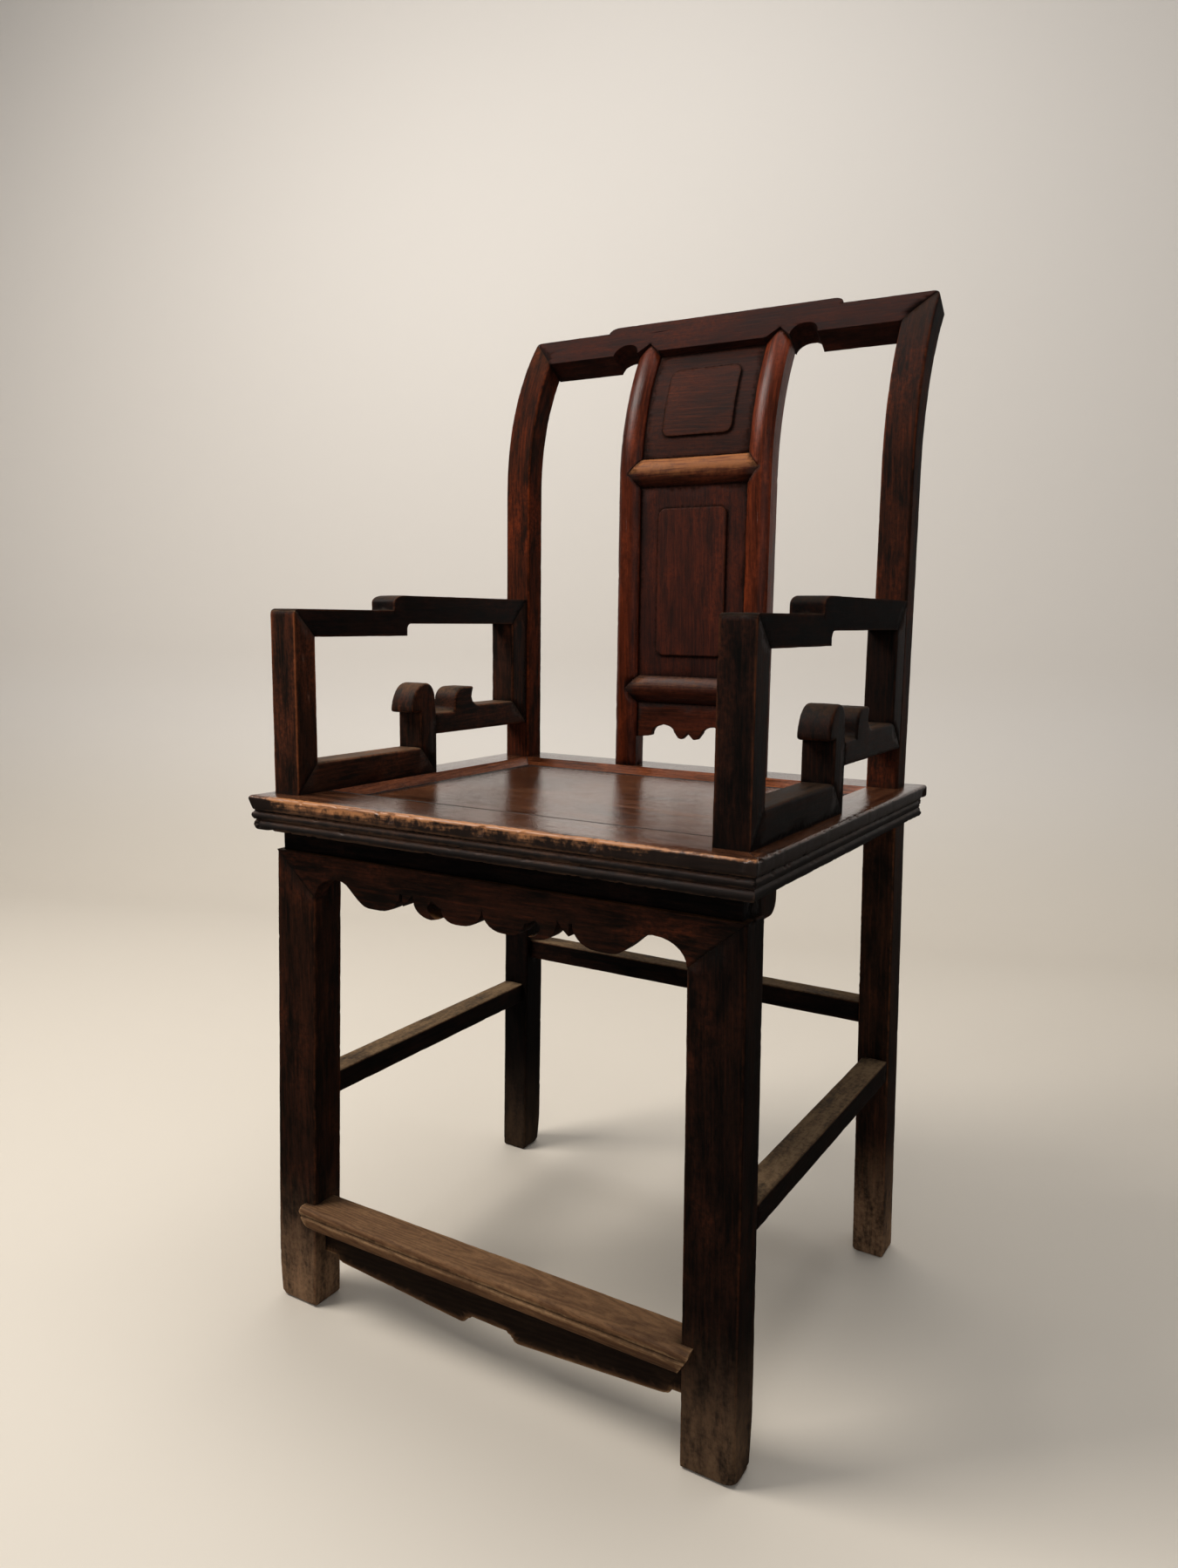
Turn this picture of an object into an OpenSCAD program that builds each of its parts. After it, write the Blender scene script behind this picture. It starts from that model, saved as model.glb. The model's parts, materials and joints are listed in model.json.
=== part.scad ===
// Armchair of dark hardwood in the traditional framed manner.
// A stool base with splayed legs carries a mitred seat frame. A bent back with a
// three-part splat and two stepped arms of mitred bars stand on the seat.
// Millimetres, +Z up, the front of the chair faces -Y, the floor is z = 0.

/* [Seat] */
// Height of the seat's top above the floor
seat_h = 533; // [500:1:560]
// Width of the seat frame across its moulded edge
seat_w = 535; // [510:1:600]
// Depth of the seat frame, front to back
seat_d = 470; // [450:1:520]
// Thickness of the seat frame
seat_t = 35; // [34:1:40]
// Width of the flat top of the front rail
front_rail_w = 64; // [56:1:72]
// Width of the flat top of the back rail
back_rail_w = 58; // [54:1:66]
// Width of the flat top of each side rail
side_rail_w = 48; // [44:1:56]
// Width of the slope that leads from the side rail down to the panel
lip_run = 12; // [8:1:16]
// Depth of the sunk panel below the frame's top
lip_drop = 8; // [5:0.5:10]
// Thickness of the seat panel
panel_t = 12; // [10:0.5:13]
// Thickness of the tongue round the panel
tongue_t = 5; // [4:0.5:6]
// Length of the tongue that lies in the rails' groove
tongue_l = 6; // [4:0.5:8]
// Width of each batten under the panel
batten_w = 26; // [20:1:34]
// Height of the two battens
batten_h = 13; // [8:1:14]
// Distance of each batten from the middle of the seat
batten_x = 84; // [60:1:110]

/* [Seat edge moulding] */
// Height of the plain rounded band at the top of the edge
band_h = 15; // [12:0.5:17]
// Height of each of the two beads below the band
bead_h = 8.5; // [7:0.5:9]
// Depth of the groove under the band
edge_groove = 3; // [2:0.5:4]
// Distance that each bead steps inward
bead_step = 2; // [1:0.5:3]

/* [Legs] */
// Distance of the legs' outer face in from the frame's side edge
overhang_x = 16; // [12:0.5:20]
// Distance of the legs' outer face in from the frame's front and back edge
overhang_y = 21; // [17:0.5:24]
// Width of a front leg, seen from the front
front_leg_w = 51; // [44:1:56]
// Depth of a front leg
front_leg_d = 37; // [34:1:42]
// Width of a back leg, seen from the front
back_leg_w = 35; // [32:1:40]
// Depth of a back leg
back_leg_d = 37; // [34:1:42]
// Outward lean of the legs, seen from the front, in degrees
splay_x = 1; // [0:0.1:1.5]
// Outward lean of the legs, seen from the side, in degrees
splay_y = 0.8; // [0:0.1:1.5]

/* [Front waist and apron] */
// Height of the recessed waist under the seat frame
waist_h = 21; // [16:1:26]
// Distance of the waist's face behind the apron's face
waist_recess = 5; // [3:0.5:8]
// Height of the apron, its lobes included
apron_h = 44; // [40:1:52]
// Thickness of the apron board
apron_t = 18; // [14:0.5:20]
// Height of the arch beside each leg
arch_h = 22; // [16:1:26]
// Height of the cusp in the middle of the apron
cusp_h = 18; // [12:1:22]
// Length of the bracket behind each front leg
bracket_l = 36; // [28:1:48]
// Drop of the bracket's foot along the leg
bracket_drop = 52; // [44:1:60]
// Thickness of the bracket
bracket_t = 14; // [10:1:18]

/* [Stretchers] */
// Height of the footrest's top above the floor
footrest_z = 113; // [100:1:130]
// Thickness of the footrest board
footrest_t = 23; // [18:1:26]
// Distance that the footrest's nose stands in front of the legs
nose = 12; // [8:1:16]
// Distance that each end of the nose laps over the leg
nose_lap = 12; // [8:1:18]
// Depth of the footrest board behind the legs' front face
footrest_d = 27; // [22:1:32]
// Height of the strip under the footrest at its lowest point
strip_h = 51; // [40:1:56]
// Height of the notch in the middle of the strip
strip_notch = 9; // [6:1:12]
// Half the width of the notch
notch_w = 20; // [14:1:28]
// Rise of the strip's lower edge toward the legs
strip_rise = 12; // [6:1:16]
// Thickness of the strip
strip_t = 12; // [9:1:15]
// Height of the side stretchers' top above the floor
side_z = 232; // [200:1:255]
// Height of the back stretcher's top above the floor
back_z = 291; // [270:1:330]
// Height of the side and back stretchers' section
bar_h = 24; // [20:1:28]
// Width of the side and back stretchers' section
bar_w = 28; // [22:1:30]

/* [Back] */
// Height of the top rail's outer corners above the seat
back_h = 516; // [480:1:540]
// Radius of the backward bend, on the front face
bend_r = 300; // [280:5:340]
// Height above the seat at which the bend starts
bend_start = 327; // [310:1:340]
// Width of each back post
post_w = 34; // [30:1:38]
// Depth of each back post
post_d = 30; // [26:1:32]
// Height of the top rail, measured along the bend
rail_h = 39; // [34:1:44]
// Rise of the raised middle of the top rail
crest_rise = 10; // [6:0.5:14]
// Half the width of the raised middle
crest_w = 134; // [118:1:150]
// Width of the rounded step at each end of the raised middle
crest_step = 12; // [8:1:16]
// Width of the arched notch beside the splat, under the top rail
rail_arch_w = 32; // [24:1:40]
// Height of that notch
rail_arch_h = 15; // [10:1:18]
// Radius of the rounded outer corners
corner_r = 8; // [4:1:12]

/* [Splat] */
// Width of the splat over its two stiles
splat_w = 190; // [176:1:210]
// Distance of the splat's face behind the posts' face
splat_set = 3; // [2:0.5:6]
// Width of each half-round stile
stile_w = 28; // [24:1:32]
// Depth of the stiles and cross rails
stile_d = 23; // [20:0.5:25]
// Radius of the half-round face
stile_r = 21; // [18.5:0.5:24]
// Height of each cross rail
cross_h = 32; // [26:1:36]
// Height of the upper cross rail's lower edge above the seat
cross_up = 324; // [312:1:330]
// Height of the lower cross rail's lower edge above the seat
cross_low = 76; // [66:1:90]
// Height of the shaped piece under the lower cross rail
skirt_h = 41; // [34:1:48]
// Thickness of the splat's panels
splat_panel_t = 8; // [6:0.5:9]
// Distance of the panels' ground behind the stiles' face
panel_set = 7.5; // [7:0.5:9]
// Rise of the panels' raised field
field_rise = 2.5; // [1:0.5:4]
// Plain margin round the raised field
field_margin = 24; // [16:1:30]
// Corner radius of the raised field
field_r = 9; // [4:1:12]

/* [Arms] */
// Distance of the arms' front face behind the seat's front edge
arm_setback = 21; // [16:1:26]
// Distance of the arms' outer face in from the seat's side edge
arm_inset = 15; // [12:1:20]
// Thickness of the arms, seen from the front
arm_t = 32; // [28:1:34]
// Depth of the arms' front and scroll posts, seen from the side
arm_bar = 27; // [24:1:30]
// Radius of the arm's worn front corner
arm_nose = 6; // [3:0.5:9]
// Radius of the hollow in the step under the arm rail
step_r = 6; // [3:0.5:9]
// Height of the front, low part of the arm above the seat
arm_h = 180; // [165:1:195]
// Rise of the rear part of the arm
arm_step = 16; // [12:1:22]
// Height of the rear part's bar
arm_rear_bar = 30; // [26:1:32]
// Height of the rail that lies on the seat
arm_foot_h = 30; // [26:1:34]
// Distance of the scroll post's rear face behind the arm's front face
scroll_y = 212; // [195:1:220]
// Height of the scroll's crest above the seat
scroll_h = 101; // [92:1:108]
// Height of the scroll's lip above the seat
lip_z = 69; // [60:1:76]
// Distance that the scroll's lip hangs forward
lip_over = 14; // [10:1:18]
// Distance of the step under the arm rail from the arm's front face
step_y = 165; // [150:1:175]
// Height of the rear lower rail's lower edge above the seat
low_rail_z = 43; // [38:1:50]
// Height of the rear lower rail
low_rail_h = 29; // [25:1:32]
// Height of the wave on the rear lower rail
wave_h = 22; // [16:1:26]

/* [Joints] */
// Clearance round each tenon and tongue
joint_gap = 0.2; // [0.1:0.05:0.4]
// Thickness of the tenons
tenon_t = 12; // [9:1:14]
// Height of the stretchers' tenons
tenon_h = 14; // [10:1:16]
// Length of the stretchers' tenons
tenon_l = 20; // [14:1:24]
// Length of the upright tenons in the seat frame
peg_l = 14; // [10:1:15]

/* [Hidden] */
$fn = 64;

// Colours of the lacquered wood
dark = [0.16, 0.08, 0.06];
brown = [0.24, 0.12, 0.08];
red = [0.30, 0.12, 0.08];
warm = [0.36, 0.20, 0.12];

// Overshoot of every cutting solid, and the reach of those that only have to be long
over = 5;
far = 700;

// Seat levels, from the top down
z_seat = seat_h;
z_under = seat_h - seat_t;
z_shoulder = z_under - waist_h;
z_apron = z_shoulder - apron_h;
z_panel = z_seat - lip_drop;
z_groove = z_panel - panel_t + tongue_t;
hx = seat_w / 2;
hy = seat_d / 2;

// The slope is as steep at the front and back as its mitres ask
lip_front = lip_run * front_rail_w / side_rail_w;
lip_back = lip_run * back_rail_w / side_rail_w;
hole_x = hx - side_rail_w - lip_run;
hole_front = -hy + front_rail_w + lip_front;
hole_back = hy - back_rail_w - lip_back;

// Outer faces of the legs at the seat and at a height z
leg_x = hx - overhang_x;
leg_y = hy - overhang_y;
function leg_out_x(z) = leg_x + (z_under - z) * tan(splay_x);
function leg_out_y(z) = leg_y + (z_under - z) * tan(splay_y);

// Faces of the apron, and its ends at the mitres
apron_y = -leg_out_y(z_shoulder - apron_h / 2);
leg_in = leg_out_x(z_apron) - front_leg_w;
leg_out = leg_out_x(z_shoulder);

// Arms
arm_y = -hy + arm_setback;
arm_x = hx - arm_inset;

// Back: the posts' front face, the centre of the bend and the rail's angles
post_x = leg_x;
post_y = leg_y - back_leg_d;
bend_y = post_y + bend_r;
bend_z = z_seat + bend_start;
top_a = asin((back_h - bend_start) / bend_r);
mid_a = top_a - asin(rail_h / 2 / bend_r);
rail_top = bend_r * sin(top_a - mid_a);
rail_low = rail_top - rail_h;
crest_top = rail_top + crest_rise;
back_r = bend_r - post_d;
splat_y = post_y + splat_set;
splat_r = bend_r - splat_set;
stile_x = splat_w / 2 - stile_w / 2;
panel_x = splat_w / 2 - stile_w;

// The origin stands under the middle of the whole chair's depth
y_most = bend_y - back_r * cos(mid_a + asin(crest_top / back_r));
mid_y = (y_most - hy) / 2;

// Quarter of an ellipse that leaves p upright and reaches q level
function bend_down(p, q, n = 7) =
    [for (i = [0:n]) [q[0] + (p[0] - q[0]) * cos(90 * i / n), p[1] + (q[1] - p[1]) * sin(90 * i / n)]];
// Quarter of an ellipse that leaves p level and reaches q upright
function bend_up(p, q, n = 7) =
    [for (i = [0:n]) [p[0] + (q[0] - p[0]) * sin(90 * i / n), q[1] + (p[1] - q[1]) * cos(90 * i / n)]];
// Soft slope that leaves p level and reaches q level
function ease(p, q, n = 8) =
    [for (i = [0:n]) [p[0] + (q[0] - p[0]) * i / n, p[1] + (q[1] - p[1]) * (1 - cos(180 * i / n)) / 2]];
function turned(pts) = [for (i = [len(pts) - 1:-1:0]) pts[i]];
function flipped(pts) = [for (i = [len(pts) - 1:-1:0]) [-pts[i][0], pts[i][1]]];
function raised(pts, z) = [for (p = pts) [p[0], p[1] + z]];

// Brings the origin under the middle of the chair
module placed() {
    translate([0, -mid_y, 0])
        children();
}

// Outline in x and z, drawn out from y0 to y1
module front_prism(y0, y1) {
    translate([0, y1, 0])
        rotate([90, 0, 0])
            linear_extrude(height = y1 - y0)
                children();
}

// Outline in y and z, drawn out from x0 to x1
module side_prism(x0, x1) {
    translate([x0, 0, 0])
        rotate([90, 0, 90])
            linear_extrude(height = x1 - x0)
                children();
}

// Section in the distance from the bend's centre and x, swept up the bend from a0 to a1
module bent(a0, a1) {
    translate([0, bend_y, bend_z])
        rotate([90, 0, -90])
            rotate([0, 0, a0])
                rotate_extrude(angle = a1 - a0, $fn = 120)
                    children();
}

// Outline in x and the height along the bend, drawn through the back at the top rail
module rail_prism() {
    translate([0, bend_y, bend_z])
        rotate([-mid_a, 0, 0])
            front_prism(-bend_r - over, -back_r / 2)
                children();
}

// Solid for the right side (side 1) or mirrored for the left side (side -1)
module sided(side) {
    mirror([side < 0 ? 1 : 0, 0, 0])
        children();
}

// Upright peg of a by b that rises from z = 0 and is rooted as deep below it
module peg(a, b, gap) {
    cube([a + 2 * gap, b + 2 * gap, 2 * (peg_l + gap)], center = true);
}

// Legs

// Straight leg at the front (end -1) or back (end 1) of the right side
module leg_blank(end) {
    w = end < 0 ? front_leg_w : back_leg_w;
    d = end < 0 ? front_leg_d : back_leg_d;
    intersection() {
        translate([leg_x, end * leg_y, z_under])
            rotate([end * splay_y, -splay_x, 0])
                translate([-w, end < 0 ? 0 : -d, -z_under - 10 * over])
                    cube([w, d, z_under + 20 * over]);
        translate([0, -far / 2, 0])
            cube([far, far, z_under]);
    }
}

// Both legs of the right side, for trimming what stands between them
module leg_pair() {
    leg_blank(-1);
    leg_blank(1);
}

// Middle of the upright tenon on a leg's head
function head_y(end) = end < 0 ? apron_y + apron_t + (front_leg_d - apron_t) / 2 : leg_y - back_leg_d / 2;
function head_x(end) = leg_x - (end < 0 ? front_leg_w : back_leg_w) / 2;

module head_tenon(end, gap = 0) {
    translate([head_x(end), head_y(end), z_under])
        peg(tenon_h, tenon_t, gap);
}

// What the waist and the mitred end of the apron take away from a front leg
module front_shoulder() {
    slope = (z_shoulder - z_apron) / (leg_out - leg_in);
    front_prism(apron_y - 2 * over, apron_y + apron_t)
        polygon([
            [leg_in - over, z_apron - over * slope],
            [leg_out + over, z_shoulder + over * slope],
            [leg_out + over, z_under + over],
            [leg_in - over, z_under + over]
        ]);
    translate([leg_x - waist_recess, -far / 2, z_shoulder])
        cube([far, far / 2, waist_h + over]);
}

module front_leg(side) {
    sided(side) {
        difference() {
            leg_blank(-1);
            front_shoulder();
            footrest_tenon(joint_gap);
            side_tenons(joint_gap);
        }
        head_tenon(-1);
    }
}

module back_leg(side) {
    sided(side) {
        difference() {
            leg_blank(1);
            side_tenons(joint_gap);
            back_tenon(joint_gap);
        }
        head_tenon(1);
    }
}

module leg_front_left() {
    color(dark) placed() front_leg(-1);
}

module leg_front_right() {
    color(dark) placed() front_leg(1);
}

module leg_back_left() {
    color(dark) placed() back_leg(-1);
}

module leg_back_right() {
    color(dark) placed() back_leg(1);
}

// Seat

// Bulging bead from height a down to b, on a face that lies u0 behind the edge
function bead(u0, a, b) =
    [for (i = [0:6]) [u0 - (a - b) / 4 * sin(30 * i), a + (b - a) * i / 6]];

// Section of a rail: distance in from the edge, and height above the seat's underside
function rail_section(w, lip) = let (
    band = seat_t - band_h,
    bead_1 = band - 1,
    bead_2 = bead_1 - bead_h
) concat(
    [[w, seat_t], [3, seat_t]],
    [[1, seat_t - 1], [0, seat_t - 4], [0, band + 3], [1, band + 1], [2, band]],
    [[edge_groove, band], [edge_groove, bead_1]],
    bead(bead_step + 2, bead_1, bead_2),
    bead(2 * bead_step + 2, bead_2, 0),
    [[w + lip, 0], [w + lip, z_groove - tongue_t - joint_gap - z_under]],
    [[w + lip - tongue_l - 1, z_groove - tongue_t - joint_gap - z_under]],
    [[w + lip - tongue_l - 1, z_groove + joint_gap - z_under]],
    [[w + lip, z_groove + joint_gap - z_under], [w + lip, z_panel - z_under]]
);

// Rail along x: end is -1 for the front, 1 for the back
module cross_seat_rail(end, w, lip) {
    hole = end < 0 ? hole_front : hole_back;
    difference() {
        intersection() {
            mirror([0, end < 0 ? 0 : 1, 0])
                translate([0, -hy, z_under])
                    side_prism(-hx, hx)
                        polygon(rail_section(w, lip));
            translate([0, 0, z_under])
                linear_extrude(height = seat_t)
                    polygon([[-hx, end * hy], [-hole_x, hole], [hole_x, hole], [hx, end * hy]]);
        }
        frame_mortises();
    }
}

// Rail along y on the right side
module side_seat_rail(side) {
    sided(side)
        difference() {
            intersection() {
                translate([hx, 0, z_under])
                    mirror([1, 0, 0])
                        front_prism(-hy, hy)
                            polygon(rail_section(side_rail_w, lip_run));
                translate([0, 0, z_under])
                    linear_extrude(height = seat_t)
                        polygon([[hx, -hy], [hx, hy], [hole_x, hole_back], [hole_x, hole_front]]);
            }
            frame_mortises();
        }
}

// Mortises for the legs' heads, the back posts, the arms and the splat's stiles
module frame_mortises() {
    for (side = [-1, 1])
        sided(side) {
            head_tenon(-1, joint_gap);
            head_tenon(1, joint_gap);
            post_tenon(joint_gap);
            arm_tenon(joint_gap);
            stile_tenon(joint_gap);
        }
}

module seat_rail_front() {
    color(warm) placed() cross_seat_rail(-1, front_rail_w, lip_front);
}

module seat_rail_back() {
    color(warm) placed() cross_seat_rail(1, back_rail_w, lip_back);
}

module seat_rail_left() {
    color(warm) placed() side_seat_rail(-1);
}

module seat_rail_right() {
    color(warm) placed() side_seat_rail(1);
}

// Plate between the rails, g short of the hole all round, from z0 up by h
module seat_plate(g, z0, h) {
    translate([-hole_x + g, hole_front + g, z0])
        cube([2 * (hole_x - g), hole_back - hole_front - 2 * g, h]);
}

module seat_panel() {
    color(red) placed() {
        seat_plate(joint_gap, z_groove - tongue_t, z_panel - z_groove + tongue_t);
        seat_plate(-tongue_l, z_groove - tongue_t, tongue_t);
    }
}

module batten(side) {
    translate([side * batten_x - batten_w / 2, hole_front, z_groove - tongue_t - batten_h])
        cube([batten_w, hole_back - hole_front, batten_h]);
}

module batten_left() {
    color(brown) placed() batten(-1);
}

module batten_right() {
    color(brown) placed() batten(1);
}

// Front waist and apron

module waist_front() {
    color(dark) placed()
        translate([-leg_x + waist_recess, apron_y + waist_recess, z_shoulder])
            cube([2 * (leg_x - waist_recess), apron_t - waist_recess, waist_h]);
}

// Right half of the lower edge, from the middle to the leg: middle lobe, hooked lobe with
// its eye, small fang, long lobe and arch. It is drawn in fortieths of the half width and
// in tenths of the arch, so it spreads with the seat.
u = leg_in / 40;
v = arch_h / 10;
half_edge = concat(
    bend_down([0, cusp_h], [4.4 * u, 0]),
    bend_up([5.8 * u, 0], [9.1 * u, 5.5 * v], 5),
    [[11.2 * u, 7.7 * v]],
    bend_down([12.2 * u, 5.5 * v], [9.7 * u, 0.9 * v], 5),
    bend_up([11.3 * u, 0], [15.5 * u, 6.8 * v]),
    [[15.7 * u, 9.1 * v], [16.7 * u, 6.1 * v], [18 * u, 3.6 * v], [18.1 * u, 8.6 * v]],
    bend_down([18.6 * u, 9.1 * v], [23.4 * u, 0]),
    ease([26.3 * u, 0], [33.8 * u, arch_h]),
    bend_up([34.2 * u, arch_h], [leg_in, 0])
);

module apron_front() {
    color(brown) placed()
        front_prism(apron_y, apron_y + apron_t)
            polygon(raised(concat(
                flipped(half_edge),
                half_edge,
                [[leg_out, apron_h], [-leg_out, apron_h]]
            ), z_apron));
}

// Short bracket under the side rail, behind a front leg
module bracket(side) {
    back = -leg_out_y(z_shoulder) + front_leg_d;
    head = bracket_drop - 23;
    sided(side)
        difference() {
            side_prism(leg_x - waist_recess - bracket_t, leg_x - waist_recess)
                polygon(concat(
                    [[back - over, z_under], [back - over, z_under - bracket_drop]],
                    bend_up([back, z_under - bracket_drop], [back + 8, z_under - head]),
                    bend_up([back + bracket_l / 2 + 5, z_under - head], [back + bracket_l, z_under - head + 14]),
                    [[back + bracket_l, z_under]]
                ));
            leg_blank(-1);
        }
}

module bracket_left() {
    color(dark) placed() bracket(-1);
}

module bracket_right() {
    color(dark) placed() bracket(1);
}

// Stretchers

foot_y = -leg_out_y(footrest_z - footrest_t / 2);
foot_in = leg_out_x(footrest_z) - front_leg_w;
foot_back = foot_y + footrest_d;

module footrest_tenon(gap = 0) {
    reach = foot_in + tenon_l;
    translate([0, foot_back - footrest_d / 2, footrest_z - footrest_t / 2])
        cube([2 * (reach + gap), tenon_t + 2 * gap, footrest_t / 2 + 2 * gap], center = true);
}

// Both legs at one end less their mortises, to be cut from a stretcher that keeps its tenons
module legs_less_mortises() {
    for (side = [-1, 1])
        sided(side)
            difference() {
                leg_pair();
                children();
            }
}

module footrest() {
    half = foot_in + nose_lap;
    color(warm) placed()
        difference() {
            union() {
                intersection() {
                    side_prism(-half, half)
                        polygon(concat(
                            [[foot_back, footrest_z - footrest_t], [foot_back, footrest_z]],
                            bend_up([foot_y - nose + 7, footrest_z], [foot_y - nose + 1, footrest_z - 7]),
                            [[foot_y - nose + 2, footrest_z - 8]],
                            bend_down([foot_y - nose, footrest_z - 10], [foot_y - nose + 8, footrest_z - footrest_t])
                        ));
                    front_prism(-far, far)
                        polygon([
                            [-half, footrest_z + over], [-half, footrest_z - 4],
                            [-half + nose_lap, footrest_z - footrest_t - 1],
                            [half - nose_lap, footrest_z - footrest_t - 1],
                            [half, footrest_z - 4], [half, footrest_z + over]
                        ]);
                }
                footrest_tenon();
            }
            legs_less_mortises()
                footrest_tenon();
        }
}

// Right half of the strip's lower edge, above its lowest level
strip_edge = concat(
    [[0, strip_notch], [notch_w, strip_notch]],
    bend_up([notch_w + 2, strip_notch - 2], [notch_w + 6, strip_notch - 5], 4),
    bend_down([notch_w + 7, strip_notch - 5], [notch_w + 14, 0], 5),
    [[foot_in - 22, strip_rise - 1]],
    bend_up([foot_in - 20, strip_rise], [foot_in - 15, strip_rise + 5], 5),
    [[foot_in + 2 * over, strip_rise + 6]]
);

module footrest_strip() {
    low = footrest_z - footrest_t - strip_h;
    color(dark) placed()
        difference() {
            front_prism(foot_back - strip_t, foot_back)
                polygon(raised(concat(
                    flipped(strip_edge),
                    strip_edge,
                    [[foot_in + 2 * over, strip_h], [-foot_in - 2 * over, strip_h]]
                ), low));
            for (side = [-1, 1])
                sided(side)
                    leg_blank(-1);
        }
}

// Flush with the outer faces of the legs
side_x = leg_out_x(side_z);
back_y = leg_out_y(back_z);

module side_tenons(gap = 0) {
    reach = leg_out_y(side_z) - front_leg_d + tenon_l;
    translate([side_x - 1 - bar_w / 2, 0, side_z - bar_h / 2])
        cube([tenon_t - 2 + 2 * gap, 2 * (reach + gap), tenon_h + 2 * gap], center = true);
}

module side_stretcher(side) {
    sided(side)
        difference() {
            union() {
                translate([side_x - bar_w - 1, -leg_y, side_z - bar_h])
                    cube([bar_w, 2 * leg_y, bar_h]);
                side_tenons();
            }
            difference() {
                leg_pair();
                side_tenons();
            }
        }
}

module stretcher_left() {
    color(dark) placed() side_stretcher(-1);
}

module stretcher_right() {
    color(dark) placed() side_stretcher(1);
}

module back_tenon(gap = 0) {
    reach = leg_out_x(back_z) - back_leg_w + tenon_l;
    translate([0, back_y - 1 - bar_w / 2, back_z - bar_h / 2])
        cube([2 * (reach + gap), tenon_t - 2 + 2 * gap, tenon_h + 2 * gap], center = true);
}

module stretcher_back() {
    color(dark) placed()
        difference() {
            union() {
                translate([-leg_x, back_y - bar_w - 1, back_z - bar_h])
                    cube([2 * leg_x, bar_w, bar_h]);
                back_tenon();
            }
            legs_less_mortises()
                back_tenon();
        }
}

// Back posts and top rail

module post_tenon(gap = 0) {
    translate([post_x - post_w / 2, post_y + post_d / 2, z_seat])
        peg(tenon_h, tenon_t, gap);
}

// Corner that rounds off the right end of the top rail
module rail_corner() {
    rail_prism()
        difference() {
            translate([post_x - corner_r, rail_top - corner_r])
                square(corner_r + over);
            translate([post_x - corner_r, rail_top - corner_r])
                circle(r = corner_r);
        }
}

// Mitre from the inner corner to the outer corner of the post's head
mitre_slope = rail_h / post_w;
mitre_in = [post_x - post_w, rail_low];

module post(side) {
    sided(side) {
        difference() {
            union() {
                translate([post_x - post_w, post_y, z_seat])
                    cube([post_w, post_d, bend_start]);
                bent(0, top_a + 2)
                    translate([back_r, -post_x])
                        square([post_d, post_w]);
            }
            rail_prism()
                polygon([
                    mitre_in - over * [1, mitre_slope],
                    mitre_in + (post_w + 2 * over) * [1, mitre_slope],
                    [mitre_in[0] - over, mitre_in[1] + (post_w + 2 * over) * mitre_slope]
                ]);
            rail_corner();
            // what stands above the rail's top
            rail_prism()
                translate([post_x - 2 * post_w, rail_top])
                    square(3 * post_w);
        }
        post_tenon();
    }
}

module post_left() {
    color(dark) placed() post(-1);
}

module post_right() {
    color(dark) placed() post(1);
}

// Right half of the top rail's lower edge: mitred tip of the stile, arched notch, end
tip_h = stile_w / 2 * 0.95;
arch_at = splat_w / 2 + rail_arch_w;
arch_mid = splat_w / 2 + rail_arch_w / 2;
rail_edge = concat(
    [[panel_x, rail_low], [stile_x, rail_low + tip_h]],
    bend_down([splat_w / 2, rail_low], [arch_mid - 1, rail_low + rail_arch_h], 6),
    bend_up([arch_mid + 1, rail_low + rail_arch_h], [arch_at, rail_low], 6),
    [mitre_in]
);
rail_crown = concat(
    [mitre_in + [post_w, rail_h], [crest_w + crest_step, rail_top]],
    bend_down([crest_w + crest_step, rail_top + 2], [crest_w, crest_top], 5)
);

module top_rail() {
    color(brown) placed()
        difference() {
            intersection() {
                bent(mid_a - 10, mid_a + 12)
                    translate([back_r, -post_x])
                        square([post_d, 2 * post_x]);
                rail_prism()
                    polygon(concat(
                        rail_edge,
                        rail_crown,
                        flipped(rail_crown),
                        flipped(rail_edge)
                    ));
            }
            for (side = [-1, 1])
                sided(side)
                    rail_corner();
        }
}

// Splat

// Half-round section, w wide and centred, with its face at y = 0 and its back at y = d
module half_round(w, d) {
    intersection() {
        translate([-w / 2, 0])
            square([w, d]);
        union() {
            translate([0, stile_r])
                circle(r = stile_r);
            translate([-w / 2, stile_r])
                square([w, d]);
        }
    }
}

module stile_tenon(gap = 0) {
    translate([stile_x, splat_y + stile_d / 2, z_seat])
        peg(tenon_t, stile_d / 2, gap);
}

// Outline of a cross rail with its pointed ends, from height z
module cross_outline(z) {
    polygon([
        [-panel_x, z], [panel_x, z], [stile_x, z + cross_h / 2],
        [panel_x, z + cross_h], [-panel_x, z + cross_h], [-stile_x, z + cross_h / 2]
    ]);
}

module splat_stile(side) {
    sided(side) {
        difference() {
            union() {
                translate([stile_x, splat_y, z_seat])
                    linear_extrude(height = bend_start)
                        half_round(stile_w, stile_d);
                bent(0, mid_a)
                    translate([splat_r, -stile_x])
                        rotate(90)
                            half_round(stile_w, stile_d);
            }
            for (z = [z_seat + cross_up, z_seat + cross_low])
                front_prism(splat_y - over, splat_y + stile_d + over)
                    cross_outline(z);
            rail_prism()
                polygon([
                    [stile_x, rail_low + tip_h],
                    [splat_w / 2 + over, rail_low - over * tip_h / stile_w * 2],
                    [splat_w / 2 + over, crest_top + 2 * over],
                    [panel_x - over, crest_top + 2 * over],
                    [panel_x - over, rail_low - over * tip_h / stile_w * 2]
                ]);
        }
        stile_tenon();
    }
}

module splat_stile_left() {
    color(red) placed() splat_stile(-1);
}

module splat_stile_right() {
    color(red) placed() splat_stile(1);
}

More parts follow.
